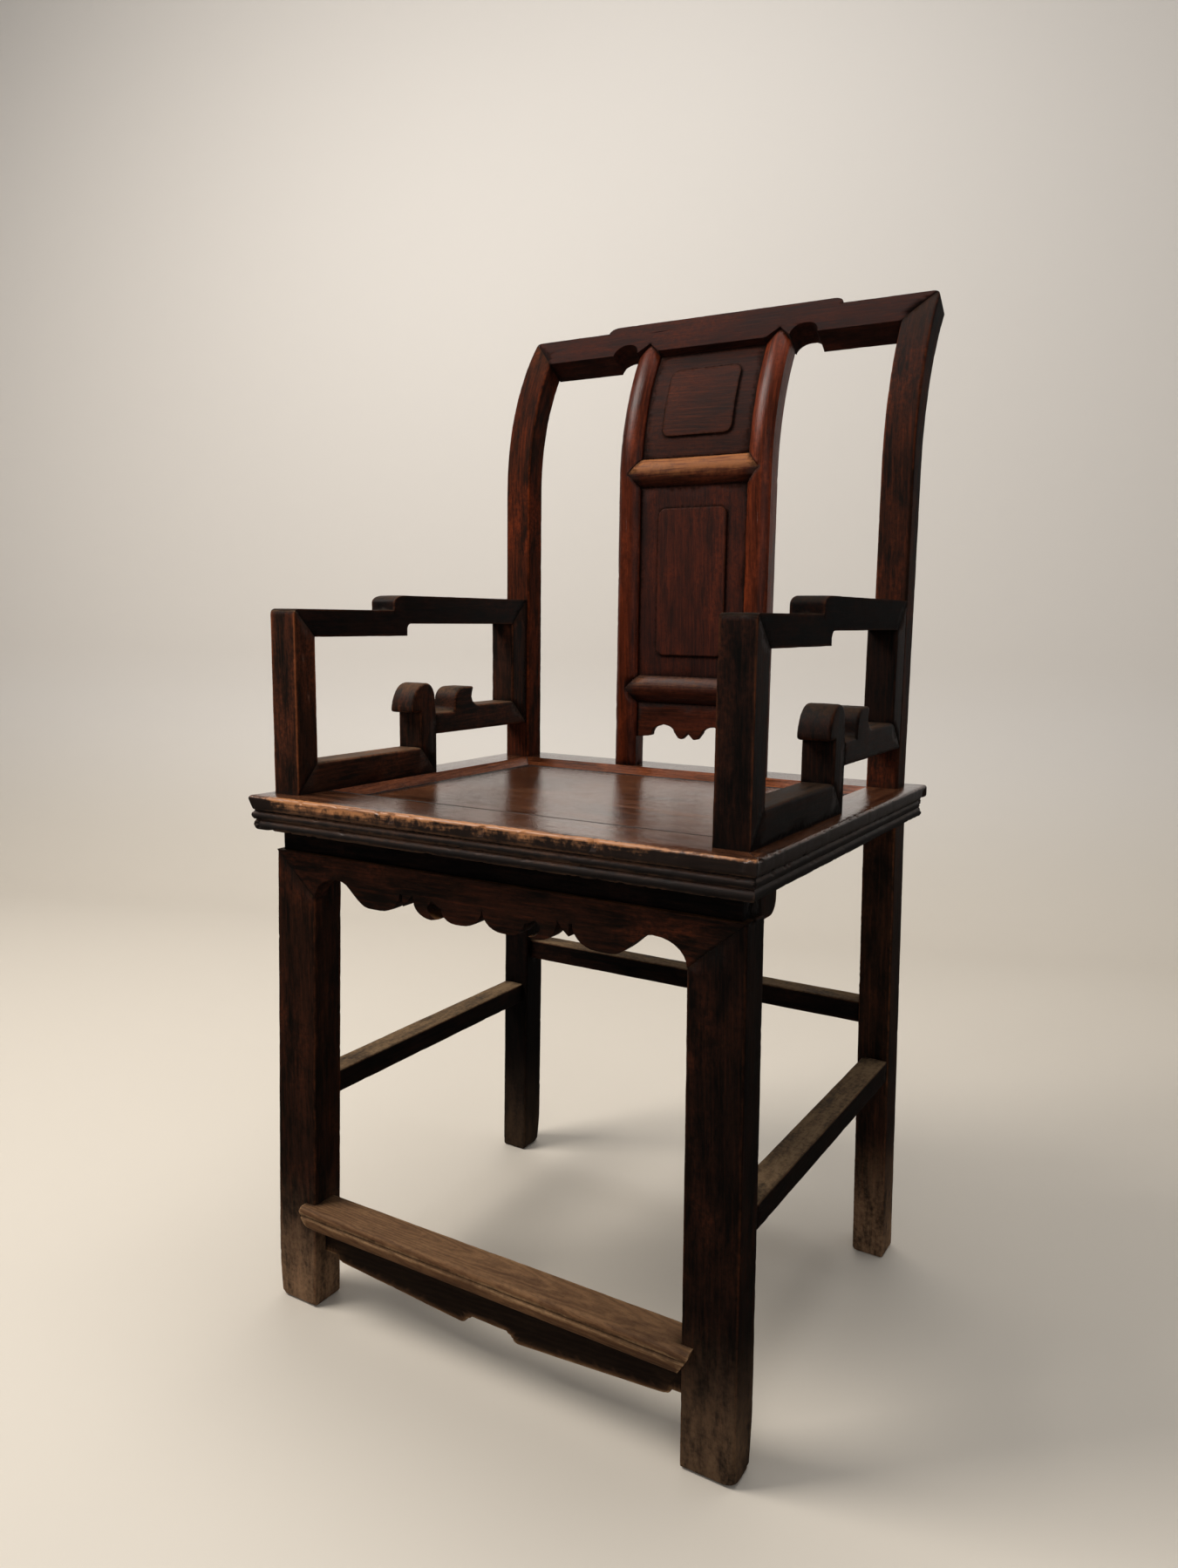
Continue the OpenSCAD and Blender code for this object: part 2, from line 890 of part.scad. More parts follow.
module cross_rail(z) {
    intersection() {
        translate([0, splat_y, z + cross_h / 2])
            side_prism(-stile_x, stile_x)
                rotate(-90)
                    half_round(cross_h, stile_d);
        front_prism(splat_y - over, splat_y + stile_d + over)
            cross_outline(z);
    }
}

module cross_rail_upper() {
    color(warm) placed() cross_rail(z_seat + cross_up);
}

module cross_rail_lower() {
    color(warm) placed() cross_rail(z_seat + cross_low);
}

// Points round one corner of the raised field, on the side that (sx, sz) says
function field_corner(x, z, sx, sz) =
    [for (i = [0:5]) let (t = sx == sz ? 18 * i : 90 - 18 * i)
        [x - sx * field_r * (1 - cos(t)), z - sz * field_r * (1 - sin(t))]];

// Rectangle with rounded corners, from z0 up to z1 and w to each side
module field_outline(w, z0, z1) {
    polygon(concat(
        field_corner(w, z1, 1, 1), field_corner(-w, z1, -1, 1),
        field_corner(-w, z0, -1, -1), field_corner(w, z0, 1, -1)
    ));
}

field_x = panel_x - field_margin;
z_upper = z_seat + cross_up + cross_h;
ground_r = splat_r - panel_set;
// Angles of the upper panel's ends along the bend, and of its middle
panel_a0 = asin((z_upper - bend_z) / ground_r);
panel_a1 = mid_a + asin(rail_low / ground_r);
panel_a = (panel_a0 + panel_a1) / 2;
field_h = ground_r * sin((panel_a1 - panel_a0) / 2) - field_margin;

// The upper panel follows the bend, and its raised field with it
module panel_upper() {
    color(brown) placed()
        difference() {
            intersection() {
                bent(0, top_a)
                    translate([ground_r - splat_panel_t, -panel_x])
                        square([splat_panel_t + field_rise, 2 * panel_x]);
                translate([-panel_x, 0, z_upper])
                    cube([2 * panel_x, far, far]);
                rail_prism()
                    translate([-panel_x, rail_low - bend_r])
                        square([2 * panel_x, bend_r]);
            }
            difference() {
                bent(-over, top_a + over)
                    translate([ground_r, -panel_x - over])
                        square([field_rise + over, 2 * (panel_x + over)]);
                translate([0, bend_y, bend_z])
                    rotate([-panel_a, 0, 0])
                        front_prism(-bend_r, -back_r)
                            field_outline(field_x, -field_h, field_h);
            }
        }
}

module panel_middle() {
    z0 = z_seat + cross_low + cross_h;
    z1 = z_seat + cross_up;
    face = splat_y + panel_set;
    color(brown) placed() {
        front_prism(face, face + splat_panel_t)
            translate([-panel_x, z0])
                square([2 * panel_x, z1 - z0]);
        front_prism(face - field_rise, face)
            field_outline(field_x, z0 + field_margin, z1 - field_margin);
    }
}

// Right half of the skirt's lower edge, in tenths of its half width and of its height
su = panel_x / 10;
sv = skirt_h / 10;
skirt_edge = concat(
    [[0, 1.7 * sv]],
    bend_up([1.1 * su, 0], [2 * su, 0.5 * sv], 4),
    bend_down([2.7 * su, 2 * sv], [5.1 * su, 3.9 * sv], 5),
    bend_up([5.7 * su, 3.4 * sv], [7.1 * su, 0.7 * sv], 5),
    [[7.7 * su, 0.4 * sv], [panel_x, 0]]
);

module splat_skirt() {
    face = splat_y + panel_set;
    z0 = z_seat + cross_low - skirt_h;
    color(brown) placed()
        front_prism(face, face + splat_panel_t)
            polygon(raised(concat(
                flipped(skirt_edge),
                skirt_edge,
                [[panel_x, skirt_h], [-panel_x, skirt_h]]
            ), z0));
}

// Arms

z_arm = z_seat + arm_h;
z_rear = z_arm + arm_step;
scroll_1 = arm_y + scroll_y;
scroll_0 = scroll_1 - arm_bar;
stile_in = post_y - arm_rear_bar;
low_0 = z_seat + low_rail_z;
low_1 = low_0 + low_rail_h;

// Side outline drawn through the thickness of the arm on one side
module arm_bar_solid(side, outline) {
    sided(side)
        side_prism(arm_x - arm_t, arm_x)
            polygon(outline);
}

module arm_tenon(gap = 0) {
    translate([arm_x - arm_t / 2, scroll_1 - arm_bar - peg_l, z_seat])
        peg(tenon_t, tenon_h, gap);
}

// Rounded front corner of the arm from angle a to angle b; the mitre splits it at 45
function nose(a, b) =
    [for (i = [0:3]) [arm_y + arm_nose, z_arm - arm_nose]
        + arm_nose * [-cos(a + (b - a) * i / 3), sin(a + (b - a) * i / 3)]];

module arm_post(side) {
    arm_bar_solid(side, concat(
        [[arm_y, z_seat], [arm_y + arm_bar, z_seat + arm_foot_h], [arm_y + arm_bar, z_arm - arm_bar]],
        nose(45, 0)
    ));
}

// The foot rail carries the tenon that holds the arm to the seat, in front of its scroll
module arm_foot(side) {
    arm_bar_solid(side, [
        [arm_y, z_seat], [scroll_1, z_seat],
        [scroll_0, z_seat + arm_foot_h], [arm_y + arm_bar, z_seat + arm_foot_h]
    ]);
    sided(side)
        arm_tenon();
}

module arm_rail(side) {
    neck = arm_y + step_y - 21;
    z_step = z_rear - arm_rear_bar;
    arm_bar_solid(side, concat(
        [[arm_y + arm_bar, z_arm - arm_bar], [arm_y + step_y, z_arm - arm_bar]],
        bend_down([arm_y + step_y, z_step - step_r], [arm_y + step_y + step_r, z_step], 4),
        [[stile_in, z_step], [post_y, z_rear]],
        turned(bend_down([neck, z_arm + arm_step / 2], [neck + 18, z_rear])),
        [[neck, z_arm]],
        nose(90, 45)
    ));
}

module arm_stile(side) {
    arm_bar_solid(side, [
        [stile_in, low_1], [post_y, low_0], [post_y, z_rear], [stile_in, z_rear - arm_rear_bar]
    ]);
}

// Post whose head curls forward over a square lip
module arm_scroll(side) {
    crest = z_seat + scroll_h;
    arm_bar_solid(side, concat(
        [[scroll_1, z_seat], [scroll_0, z_seat + arm_foot_h], [scroll_0, z_seat + lip_z]],
        bend_down([scroll_0 - lip_over, z_seat + lip_z], [scroll_1 - 17, crest], 8),
        bend_up([scroll_1 - 14, crest], [scroll_1, crest - 18], 7)
    ));
}

// Rail whose crest runs back to a point, like a breaking wave
module arm_low_rail(side) {
    front = scroll_1 + 35;
    tip = front + 37;
    crest = low_1 + wave_h;
    arm_bar_solid(side, concat(
        [[scroll_1, low_0], [post_y, low_0], [stile_in, low_1], [tip + 8, low_1]],
        [[tip + 3, low_1 + 1.5], [tip - 2, low_1 + 5], [tip - 4, low_1 + 10], [tip - 3, low_1 + 15], [tip, crest]],
        bend_up([front + 17, crest], [front, low_1 + 6], 7),
        [[front - 1, low_1 - 5], [scroll_1, low_1 - 5]]
    ));
}

module arm_left_post() {
    color(dark) placed() arm_post(-1);
}

module arm_right_post() {
    color(dark) placed() arm_post(1);
}

module arm_left_rail() {
    color(brown) placed() arm_rail(-1);
}

module arm_right_rail() {
    color(brown) placed() arm_rail(1);
}

module arm_left_stile() {
    color(dark) placed() arm_stile(-1);
}

module arm_right_stile() {
    color(dark) placed() arm_stile(1);
}

module arm_left_low_rail() {
    color(dark) placed() arm_low_rail(-1);
}

module arm_right_low_rail() {
    color(dark) placed() arm_low_rail(1);
}

module arm_left_scroll() {
    color(dark) placed() arm_scroll(-1);
}

module arm_right_scroll() {
    color(dark) placed() arm_scroll(1);
}

module arm_left_foot() {
    color(brown) placed() arm_foot(-1);
}

module arm_right_foot() {
    color(brown) placed() arm_foot(1);
}

leg_front_left();
leg_front_right();
leg_back_left();
leg_back_right();
seat_rail_front();
seat_rail_back();
seat_rail_left();
seat_rail_right();
seat_panel();
batten_left();
batten_right();
waist_front();
apron_front();
bracket_left();
bracket_right();
footrest();
footrest_strip();
stretcher_left();
stretcher_right();
stretcher_back();
post_left();
post_right();
top_rail();
splat_stile_left();
splat_stile_right();
cross_rail_upper();
cross_rail_lower();
panel_upper();
panel_middle();
splat_skirt();
arm_left_post();
arm_left_rail();
arm_left_stile();
arm_left_low_rail();
arm_left_scroll();
arm_left_foot();
arm_right_post();
arm_right_rail();
arm_right_stile();
arm_right_low_rail();
arm_right_scroll();
arm_right_foot();
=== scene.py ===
# %% [markdown]
# # Dressing an old hardwood armchair
# The solids of the chair are already made: forty-two boards and bars, each with its
# true joints. What they lack is age. Here every piece gets softly rounded arrises,
# small nicks, grain that runs the way the timber was cut, lacquer, wear and dust.

import json
import math
from types import SimpleNamespace

import bmesh
import bpy
from mathutils import Matrix, Vector, kdtree, noise
from mathutils.bvhtree import BVHTree


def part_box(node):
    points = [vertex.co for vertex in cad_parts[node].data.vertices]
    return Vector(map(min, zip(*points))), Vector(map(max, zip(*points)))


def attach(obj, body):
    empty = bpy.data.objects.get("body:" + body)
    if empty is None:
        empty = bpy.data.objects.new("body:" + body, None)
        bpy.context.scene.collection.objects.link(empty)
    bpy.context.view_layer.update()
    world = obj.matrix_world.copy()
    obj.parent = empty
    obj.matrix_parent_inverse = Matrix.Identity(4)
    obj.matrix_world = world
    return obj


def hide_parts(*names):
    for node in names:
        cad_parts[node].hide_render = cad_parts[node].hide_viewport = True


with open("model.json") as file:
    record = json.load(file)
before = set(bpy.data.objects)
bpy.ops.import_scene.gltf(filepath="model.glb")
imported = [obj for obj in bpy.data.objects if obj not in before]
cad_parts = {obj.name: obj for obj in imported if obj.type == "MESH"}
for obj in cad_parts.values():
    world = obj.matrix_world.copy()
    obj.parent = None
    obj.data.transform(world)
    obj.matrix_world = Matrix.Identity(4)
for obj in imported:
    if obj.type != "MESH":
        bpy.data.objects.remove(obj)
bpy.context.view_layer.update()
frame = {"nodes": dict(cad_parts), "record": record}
nodes = frame["nodes"]

# %% [markdown]
# ## The camera
# The photograph was taken from in front of the chair and well to the right, at about the
# height of its arms, with the lens tipped a little down. A camera can be aimed with a
# constraint, but its three angles and place are known here, so the matrix is written
# straight away.

# %% Camera
EYE = Vector((0.5819, -1.0176, 0.7077))
YAW, PITCH, ROLL = 0.5430, -0.1460, 0.0120
LENS = 25.95

ahead = Vector((-math.sin(YAW) * math.cos(PITCH), math.cos(YAW) * math.cos(PITCH), math.sin(PITCH)))
level = Vector((math.cos(YAW), math.sin(YAW), 0.0))
above = level.cross(ahead)
right = level * math.cos(ROLL) + above * math.sin(ROLL)
up = above * math.cos(ROLL) - level * math.sin(ROLL)

lens = bpy.data.cameras.new("camera")
lens.lens = LENS
lens.sensor_width = 36.0
lens.clip_start = 0.02
camera = bpy.data.objects.new("camera", lens)
bpy.context.scene.collection.objects.link(camera)
camera.matrix_world = Matrix((
    (right.x, up.x, -ahead.x, EYE.x),
    (right.y, up.y, -ahead.y, EYE.y),
    (right.z, up.z, -ahead.z, EYE.z),
    (0.0, 0.0, 0.0, 1.0),
))
bpy.context.scene.camera = camera
print("camera", round((EYE - Vector((0, 0, 0.5))).length, 2), "m from the middle of the chair")

# %% [markdown]
# ## Shader shorthand
# Wood is built from many small nodes. Wiring them by hand in the node editor is slow to
# repeat for four finishes, so a few short helpers do it: one makes a node and sets its
# plain values, the others chain maths nodes, add weighted values, blend two colours and
# read an attribute that the piece carries.

# %% Shader helpers
def make(tree, kind, *sources, **settings):
    """A node of that kind; each source is wired or typed into the input of its turn."""
    made = tree.nodes.new(kind)
    for name, value in settings.items():
        setattr(made, name, value)
    for socket, source in enumerate(sources):
        if source is None:
            continue
        if isinstance(source, bpy.types.NodeSocket):
            tree.links.new(source, made.inputs[socket])
        else:
            made.inputs[socket].default_value = source
    return made


def maths(tree, operation, a, b=0.0, c=0.0, clamp=False):
    """The result of one maths node."""
    return make(tree, "ShaderNodeMath", a, b, c, operation=operation, use_clamp=clamp).outputs[0]


def weighted(tree, *parts):
    """The sum of several values, each times its weight."""
    value, weight = parts[0]
    total = maths(tree, "MULTIPLY", value, weight)
    for value, weight in parts[1:]:
        total = maths(tree, "ADD", total, maths(tree, "MULTIPLY", value, weight))
    return total


def ramp(tree, value, low, high):
    """0 at low, 1 at high, with a soft start and end."""
    return make(tree, "ShaderNodeMapRange", value, low, high, 0.0, 1.0,
                interpolation_type="SMOOTHSTEP").outputs[0]


def blend(tree, share, a, b):
    """Colour a at share 0, colour b at share 1."""
    mix = tree.nodes.new("ShaderNodeMix")
    mix.data_type = "RGBA"
    for socket, source in ((0, share), (6, a), (7, b)):
        if isinstance(source, bpy.types.NodeSocket):
            tree.links.new(source, mix.inputs[socket])
        else:
            mix.inputs[socket].default_value = source
    return mix.outputs[2]


def carried(tree, name, output="Fac"):
    """An attribute of the piece's points."""
    return make(tree, "ShaderNodeAttribute", attribute_name=name).outputs[output]


def noise_at(tree, place, scale, detail, rough):
    """Cloudy noise from 0 to 1."""
    return make(tree, "ShaderNodeTexNoise", place, None, scale, detail, rough).outputs["Fac"]


def tint(r, g, b):
    """A colour as a picture editor shows it, turned into the light it stands for."""
    light = [((v / 255 + 0.055) / 1.055) ** 2.4 if v > 10 else v / 255 / 12.92 for v in (r, g, b)]
    return (*light, 1.0)


print("a worn edge in linear light:", [round(v, 3) for v in tint(168, 120, 78)])

# %% [markdown]
# ## The figure of the wood
# The whole chair is one dense, dark timber with thin lines and fine pores. A painted image
# could not follow so many boards. Instead each piece carries a point attribute called
# grain: metres along the board, then across it, then into it. The growth rings are
# cylinders about the board's own length, and the fibres and pores are noise drawn out
# along it, so every board has its own figure and the bent posts have grain that bends
# with them.

# %% The figure of the wood
RING_DRAW = (0.22, 1.0, 1.0)
FIBRE_DRAW = (14.0, 520.0, 520.0)
PORE_DRAW = (90.0, 1700.0, 1700.0)


def figure(tree, ring, mottling):
    """Rings, fibres, pores, mottling, blotches and specks of the timber, each from 0 to 1."""
    grain = carried(tree, "grain", "Vector")

    def drawn_out(scale):
        """Grain coordinates: a small first number draws what is read there out along the board."""
        return make(tree, "ShaderNodeVectorMath", grain, scale, operation="MULTIPLY").outputs[0]

    place = make(tree, "ShaderNodeTexCoord").outputs["Object"]
    # after the scale come the distortion, its detail and the scale of that detail
    rings = make(tree, "ShaderNodeTexWave", drawn_out(RING_DRAW), ring, 6.0, 3.0, 1.4, wave_type="RINGS",
                 rings_direction="X", wave_profile="SIN").outputs["Fac"]
    return SimpleNamespace(
        place=place,
        rings=rings,
        fibre=noise_at(tree, drawn_out(FIBRE_DRAW), 1.0, 4.0, 0.62),
        pores=noise_at(tree, drawn_out(PORE_DRAW), 1.0, 2.0, 0.5),
        mottle=noise_at(tree, drawn_out(mottling), 1.0, 7.0, 0.74),
        blotch=noise_at(tree, place, 11.0, 4.0, 0.6),
        speck=noise_at(tree, place, 240.0, 3.0, 0.6),
    )


def timber(tree, wood, deep, body, light, ring_share, drawn, spread):
    """The unworn colour, and the lines of rings and fibres that it shows."""
    # mottling chooses between the deep and the body tone, the rest is laid over it
    colour = blend(tree, ramp(tree, wood.mottle, *spread), deep, body)
    warm = maths(tree, "MULTIPLY", ramp(tree, wood.blotch, 0.42, 0.68), ramp(tree, wood.mottle, 0.35, 0.75))
    warm = maths(tree, "MULTIPLY", warm, maths(tree, "ADD", 0.45, ramp(tree, wood.speck, 0.42, 0.66)))
    lines = weighted(tree, (wood.rings, ring_share), (wood.fibre, 1.0 - ring_share))
    for share, strength, stain in (
        (warm, 0.65, light),
        (ramp(tree, wood.speck, 0.47, 0.34), 0.35, deep),
        (ramp(tree, lines, 0.48, 0.74), drawn * 0.8, light),
        (ramp(tree, lines, 0.50, 0.28), drawn, deep),
        (ramp(tree, wood.pores, 0.47, 0.34), 0.5, deep),
    ):
        colour = blend(tree, maths(tree, "MULTIPLY", share, strength), colour, stain)
    return colour, lines


print("pores are", round(PORE_DRAW[1] / PORE_DRAW[0]), "times as long as wide, fibres",
      round(FIBRE_DRAW[1] / FIBRE_DRAW[0]), "times")

# %% [markdown]
# ## Bare arrises and dust
# Hands and legs rub the lacquer off the arrises, first on the sharpest part and in
# patches. Dust lies on what faces up low down, and mops scuff the lowest hand's breadth
# of the legs. Both could be painted by hand on one chair. Here they are worked out from
# attributes, height and slope, so all the pieces age by the same rule. Four more
# attributes take part: worn says how near a point is to an open arris, snug how near to a
# joint, and on the front seat rail also a painted line of shade along a crease, tone how
# dark and of what hue its board is, with painted light and shade on some boards, and
# matt how dull.

# %% Wear and dust
CHEWED_SCALE = 75.0
GRIME, DUST = tint(14, 10, 7), tint(124, 98, 72)


def bare_places(tree, wood, height, wear, patches, high_wear):
    """Where the lacquer is gone, from 0 to 1; high_wear keeps it to what lies higher."""
    chewed = noise_at(tree, wood.place, CHEWED_SCALE, 4.0, 0.65)
    patchy = weighted(tree, (wood.blotch, 0.45), (chewed, 0.5), (wood.speck, 0.25), (wood.fibre, 0.2))
    edge = maths(tree, "MULTIPLY", carried(tree, "worn"), patchy)
    edge = maths(tree, "MULTIPLY", ramp(tree, edge, *patches), wear)
    if high_wear is not None:
        edge = maths(tree, "MULTIPLY", edge, maths(tree, "ADD", 0.12, ramp(tree, height, *high_wear)))
    return maths(tree, "MINIMUM", edge, 1.0)


def dusty_places(tree, wood, upward, height, dust, low_dust):
    """Where dust lies or mops have scuffed, from 0 to 1."""
    low = maths(tree, "ADD", ramp(tree, height, 0.47, 0.32), 0.22)
    lying = maths(tree, "MULTIPLY", maths(tree, "MULTIPLY", ramp(tree, upward, 0.35, 0.95), dust), low)
    scuffed = maths(tree, "MULTIPLY", ramp(tree, height, 0.15, 0.0), low_dust)
    streaks = weighted(tree, (wood.mottle, 0.75), (wood.speck, 0.32), (wood.blotch, 0.25))
    return maths(tree, "MULTIPLY", maths(tree, "ADD", lying, scuffed), ramp(tree, streaks, 0.42, 0.84),
                 clamp=True)


print("grime is", round(DUST[0] / GRIME[0]), "times as dark as dust")

# %% [markdown]
# ## One timber, four finishes
# The frame is nearly black, the back is polished red by shoulders, the seat is rubbed
# until it mirrors what stands behind it, and the footrest is worn down to bare wood. Four
# separate materials would repeat most of their nodes, so one function lays the coats in
# the order in which they came on the real chair: timber, wear, grime, dust. Each finish
# is a set of numbers.

# %% The finishes
BUMP_STRENGTH, BUMP_DEPTH = 0.35, 0.0012


def hardwood(name, deep, body, light, bare, rough, wear, grime, dust, low_dust, specular, ring=62.0,
             ring_share=0.12, drawn=0.5, spread=(0.30, 0.66), side=0.0, high_wear=None,
             mottling=(11.0, 60.0, 60.0), patches=(0.36, 0.74)):
    """Lacquered timber: three tones of wood, the bare colour of worn arrises, grime and dust."""
    material = bpy.data.materials.new(name)
    material.use_nodes = True
    tree = material.node_tree
    shader = tree.nodes["Principled BSDF"]
    wood = figure(tree, ring, mottling)
    facing = make(tree, "ShaderNodeNewGeometry").outputs["Normal"]
    upward = make(tree, "ShaderNodeSeparateXYZ", facing).outputs[2]
    height = make(tree, "ShaderNodeSeparateXYZ", wood.place).outputs[2]

    colour, lines = timber(tree, wood, deep, body, light, ring_share, drawn, spread)
    # painted shade: faces that turn from up to sideways are darkened towards the deep tone, as much as side
    # says; the seat and the footrest use it, and it also dulls them
    sideways_shade = maths(tree, "MULTIPLY", ramp(tree, upward, 0.75, 0.15), side)
    colour = blend(tree, sideways_shade, colour, deep)
    edge = bare_places(tree, wood, height, wear, patches, high_wear)
    rubbed = blend(tree, maths(tree, "MULTIPLY", ramp(tree, lines, 0.53, 0.33), 0.65), bare, body)
    colour = blend(tree, edge, colour, rubbed)
    # joints and corners hold grime; on the front seat rail the same mask paints a line of shade along the
    # crease of the slope
    near_joint = maths(tree, "MULTIPLY", carried(tree, "snug"), wood.speck)
    grime_and_crease_shade = maths(tree, "MULTIPLY", ramp(tree, near_joint, 0.16, 0.5), grime)
    colour = blend(tree, grime_and_crease_shade, colour, GRIME)
    grey = dusty_places(tree, wood, upward, height, dust, low_dust)
    colour = blend(tree, grey, colour, DUST)
    # boards of one chair differ: each has its own depth of tone, and on some boards the tone also carries
    # painted light and shade
    tone = carried(tree, "tone", "Vector")
    colour = make(tree, "ShaderNodeVectorMath", colour, tone, operation="MULTIPLY").outputs[0]
    tree.links.new(colour, shader.inputs["Base Color"])

    # lacquer shines, and whatever covers it or wears it off is dull
    dull = weighted(tree, (wood.mottle, 0.20), (wood.speck, 0.10), (edge, 0.18), (sideways_shade, 0.35),
                    (grime_and_crease_shade, 0.45), (carried(tree, "matt"), 1.0), (grey, 0.45))
    tree.links.new(maths(tree, "ADD", dull, rough - 0.15, clamp=True), shader.inputs["Roughness"])

    wavy = noise_at(tree, wood.place, 38.0, 2.0, 0.5)
    relief = weighted(tree, (wood.pores, 0.30), (wood.fibre, 0.45), (wavy, 0.8), (wood.mottle, 0.5))
    bumped = make(tree, "ShaderNodeBump")
    bumped.inputs["Strength"].default_value = BUMP_STRENGTH
    bumped.inputs["Distance"].default_value = BUMP_DEPTH
    tree.links.new(relief, bumped.inputs["Height"])
    tree.links.new(bumped.outputs[0], shader.inputs["Normal"])
    shader.inputs["Specular IOR Level"].default_value = specular
    return material


# side paints shade on the sideways faces of the seat and the footrest
finishes = {
    "frame_wood": hardwood(
        "dark lacquered frame", deep=tint(11, 6, 3), body=tint(35, 16, 7), light=tint(78, 36, 17),
        bare=tint(122, 66, 34), rough=0.60, wear=0.42, grime=0.7, dust=0.95, low_dust=0.9, specular=0.10,
        drawn=0.30, spread=(0.36, 0.59), mottling=(16.0, 66.0, 66.0)),
    "back_wood": hardwood(
        "reddish polished back", deep=tint(34, 13, 6), body=tint(70, 29, 14), light=tint(104, 47, 23),
        bare=tint(132, 84, 46), rough=0.42, wear=0.8, grime=0.7, dust=0.12, low_dust=0.0, specular=0.15,
        drawn=0.36),
    "seat_wood": hardwood(
        "rubbed seat", deep=tint(24, 13, 7), body=tint(80, 47, 30), light=tint(126, 82, 54),
        bare=tint(168, 112, 68), rough=0.17, wear=1.5, grime=1.1, dust=0.0, low_dust=0.0, specular=0.32,
        side=0.93, high_wear=(0.519, 0.528), spread=(0.25, 0.6), patches=(0.45, 0.68)),
    "foot_wood": hardwood(
        "footworn board", deep=tint(70, 45, 27), body=tint(112, 79, 51), light=tint(138, 102, 69),
        bare=tint(176, 140, 102), rough=0.62, wear=0.5, grime=0.6, dust=0.25, low_dust=0.10, specular=0.12,
        ring=95.0, ring_share=0.42, side=0.5, drawn=0.42, spread=(0.25, 0.7)),
}
slot_of = {s["node"]: s["material_slot"] for s in frame["record"]["subparts"]}
print(len(finishes), "finishes")

# %% [markdown]
# ## The studio
# A chair this dark needs a pale, even surround. Two flat sheets would meet in a line
# behind it. One sheet bent up at the back is used instead, as photographers do, so no
# corner shows. In the lacquer's reflections its lower part is darker and its upper part
# whiter, which keeps the flanks of the seat deep and lets its top shine.

# %% Backdrop
def sheet_bent_up(name, half, front, back, radius, height):
    """A level sheet that turns upright at its back."""
    profile = [(-front, 0.0)]
    profile += [(back - radius + radius * math.sin(a), radius - radius * math.cos(a))
                for a in (math.radians(9 * i) for i in range(11))]
    profile.append((back, height))
    verts = [(side * half, y, z) for y, z in profile for side in (-1, 1)]
    faces = [(2 * i, 2 * i + 1, 2 * i + 3, 2 * i + 2) for i in range(len(profile) - 1)]
    mesh = bpy.data.meshes.new(name)
    mesh.from_pydata(verts, [], faces)
    mesh.polygons.foreach_set("use_smooth", [True] * len(faces))
    sheet = bpy.data.objects.new(name, mesh)
    bpy.context.scene.collection.objects.link(sheet)
    return sheet


paper = bpy.data.materials.new("pale paper")
paper.use_nodes = True
paper_tree = paper.node_tree
paper_shader = paper_tree.nodes["Principled BSDF"]
paper_shader.inputs["Roughness"].default_value = 0.55
spot = make(paper_tree, "ShaderNodeTexCoord").outputs["Object"]
level_z = make(paper_tree, "ShaderNodeSeparateXYZ", spot).outputs[2]
mirrored = make(paper_tree, "ShaderNodeLightPath").outputs["Is Glossy Ray"]
reflected = blend(paper_tree, ramp(paper_tree, level_z, 0.45, 0.15), tint(252, 249, 245), tint(70, 62, 54))
pale = blend(paper_tree, ramp(paper_tree, level_z, 0.0, 0.5), tint(212, 203, 189), tint(221, 215, 207))
seen = blend(paper_tree, mirrored, pale, reflected)
paper_tree.links.new(seen, paper_shader.inputs["Base Color"])

backdrop = sheet_bent_up("backdrop", half=6.0, front=5.0, back=1.9, radius=0.6, height=4.5)
backdrop.data.materials.append(paper)
backdrop.rotation_euler[2] = 0.35
print("backdrop of", len(backdrop.data.polygons), "faces")

# %% [markdown]
# ## The light
# One big soft lamp high on the left does the work, a weaker one fills the right side, and
# a third hangs above for the seat and the arms. Lamps alone would leave the shadows black,
# so a dim sky fills them. It is dimmer still in reflections, so that the lacquer does not
# turn grey.

# %% Lamps
def lamp(name, place, target, size, watts, colour=(1.0, 1.0, 1.0)):
    """A soft rectangular lamp at that place, aimed at the target."""
    data = bpy.data.lights.new(name, "AREA")
    data.shape = "RECTANGLE"
    data.size, data.size_y = size
    data.energy = watts
    data.color = colour
    made = bpy.data.objects.new(name, data)
    bpy.context.scene.collection.objects.link(made)
    made.location = place
    made.rotation_mode = "QUATERNION"
    made.rotation_quaternion = (Vector(target) - Vector(place)).to_track_quat("-Z", "Y")
    return made


lamp("key", (-1.45, -1.05, 2.55), (0, 0, 0.5), (1.1, 1.1), 66, (1.0, 0.96, 0.91))
lamp("fill", (1.2, -2.4, 1.4), (0, 0, 0.5), (1.6, 1.6), 8)
lamp("top", (0.1, 0.3, 2.9), (0, 0, 0.5), (1.6, 1.0), 26)
world = bpy.data.worlds.new("studio")
bpy.context.scene.world = world
world.use_nodes = True
world_tree = world.node_tree
sky = world_tree.nodes["Background"].inputs
rays = make(world_tree, "ShaderNodeLightPath").outputs
SKY, MIRRORED_LESS, SEEN_MORE = 0.28, -0.20, 0.42
strength = maths(world_tree, "MULTIPLY_ADD", rays["Is Glossy Ray"], MIRRORED_LESS, SKY)
strength = maths(world_tree, "MULTIPLY_ADD", rays["Is Camera Ray"], SEEN_MORE, strength)
world_tree.links.new(strength, sky["Strength"])
world_tree.links.new(blend(world_tree, rays["Is Camera Ray"], (0.93, 0.95, 1.0, 1.0),
                           (1.0, 0.97, 0.93, 1.0)), sky["Color"])
bpy.context.scene.view_settings.view_transform = "Standard"
print("three lamps and a dim sky")

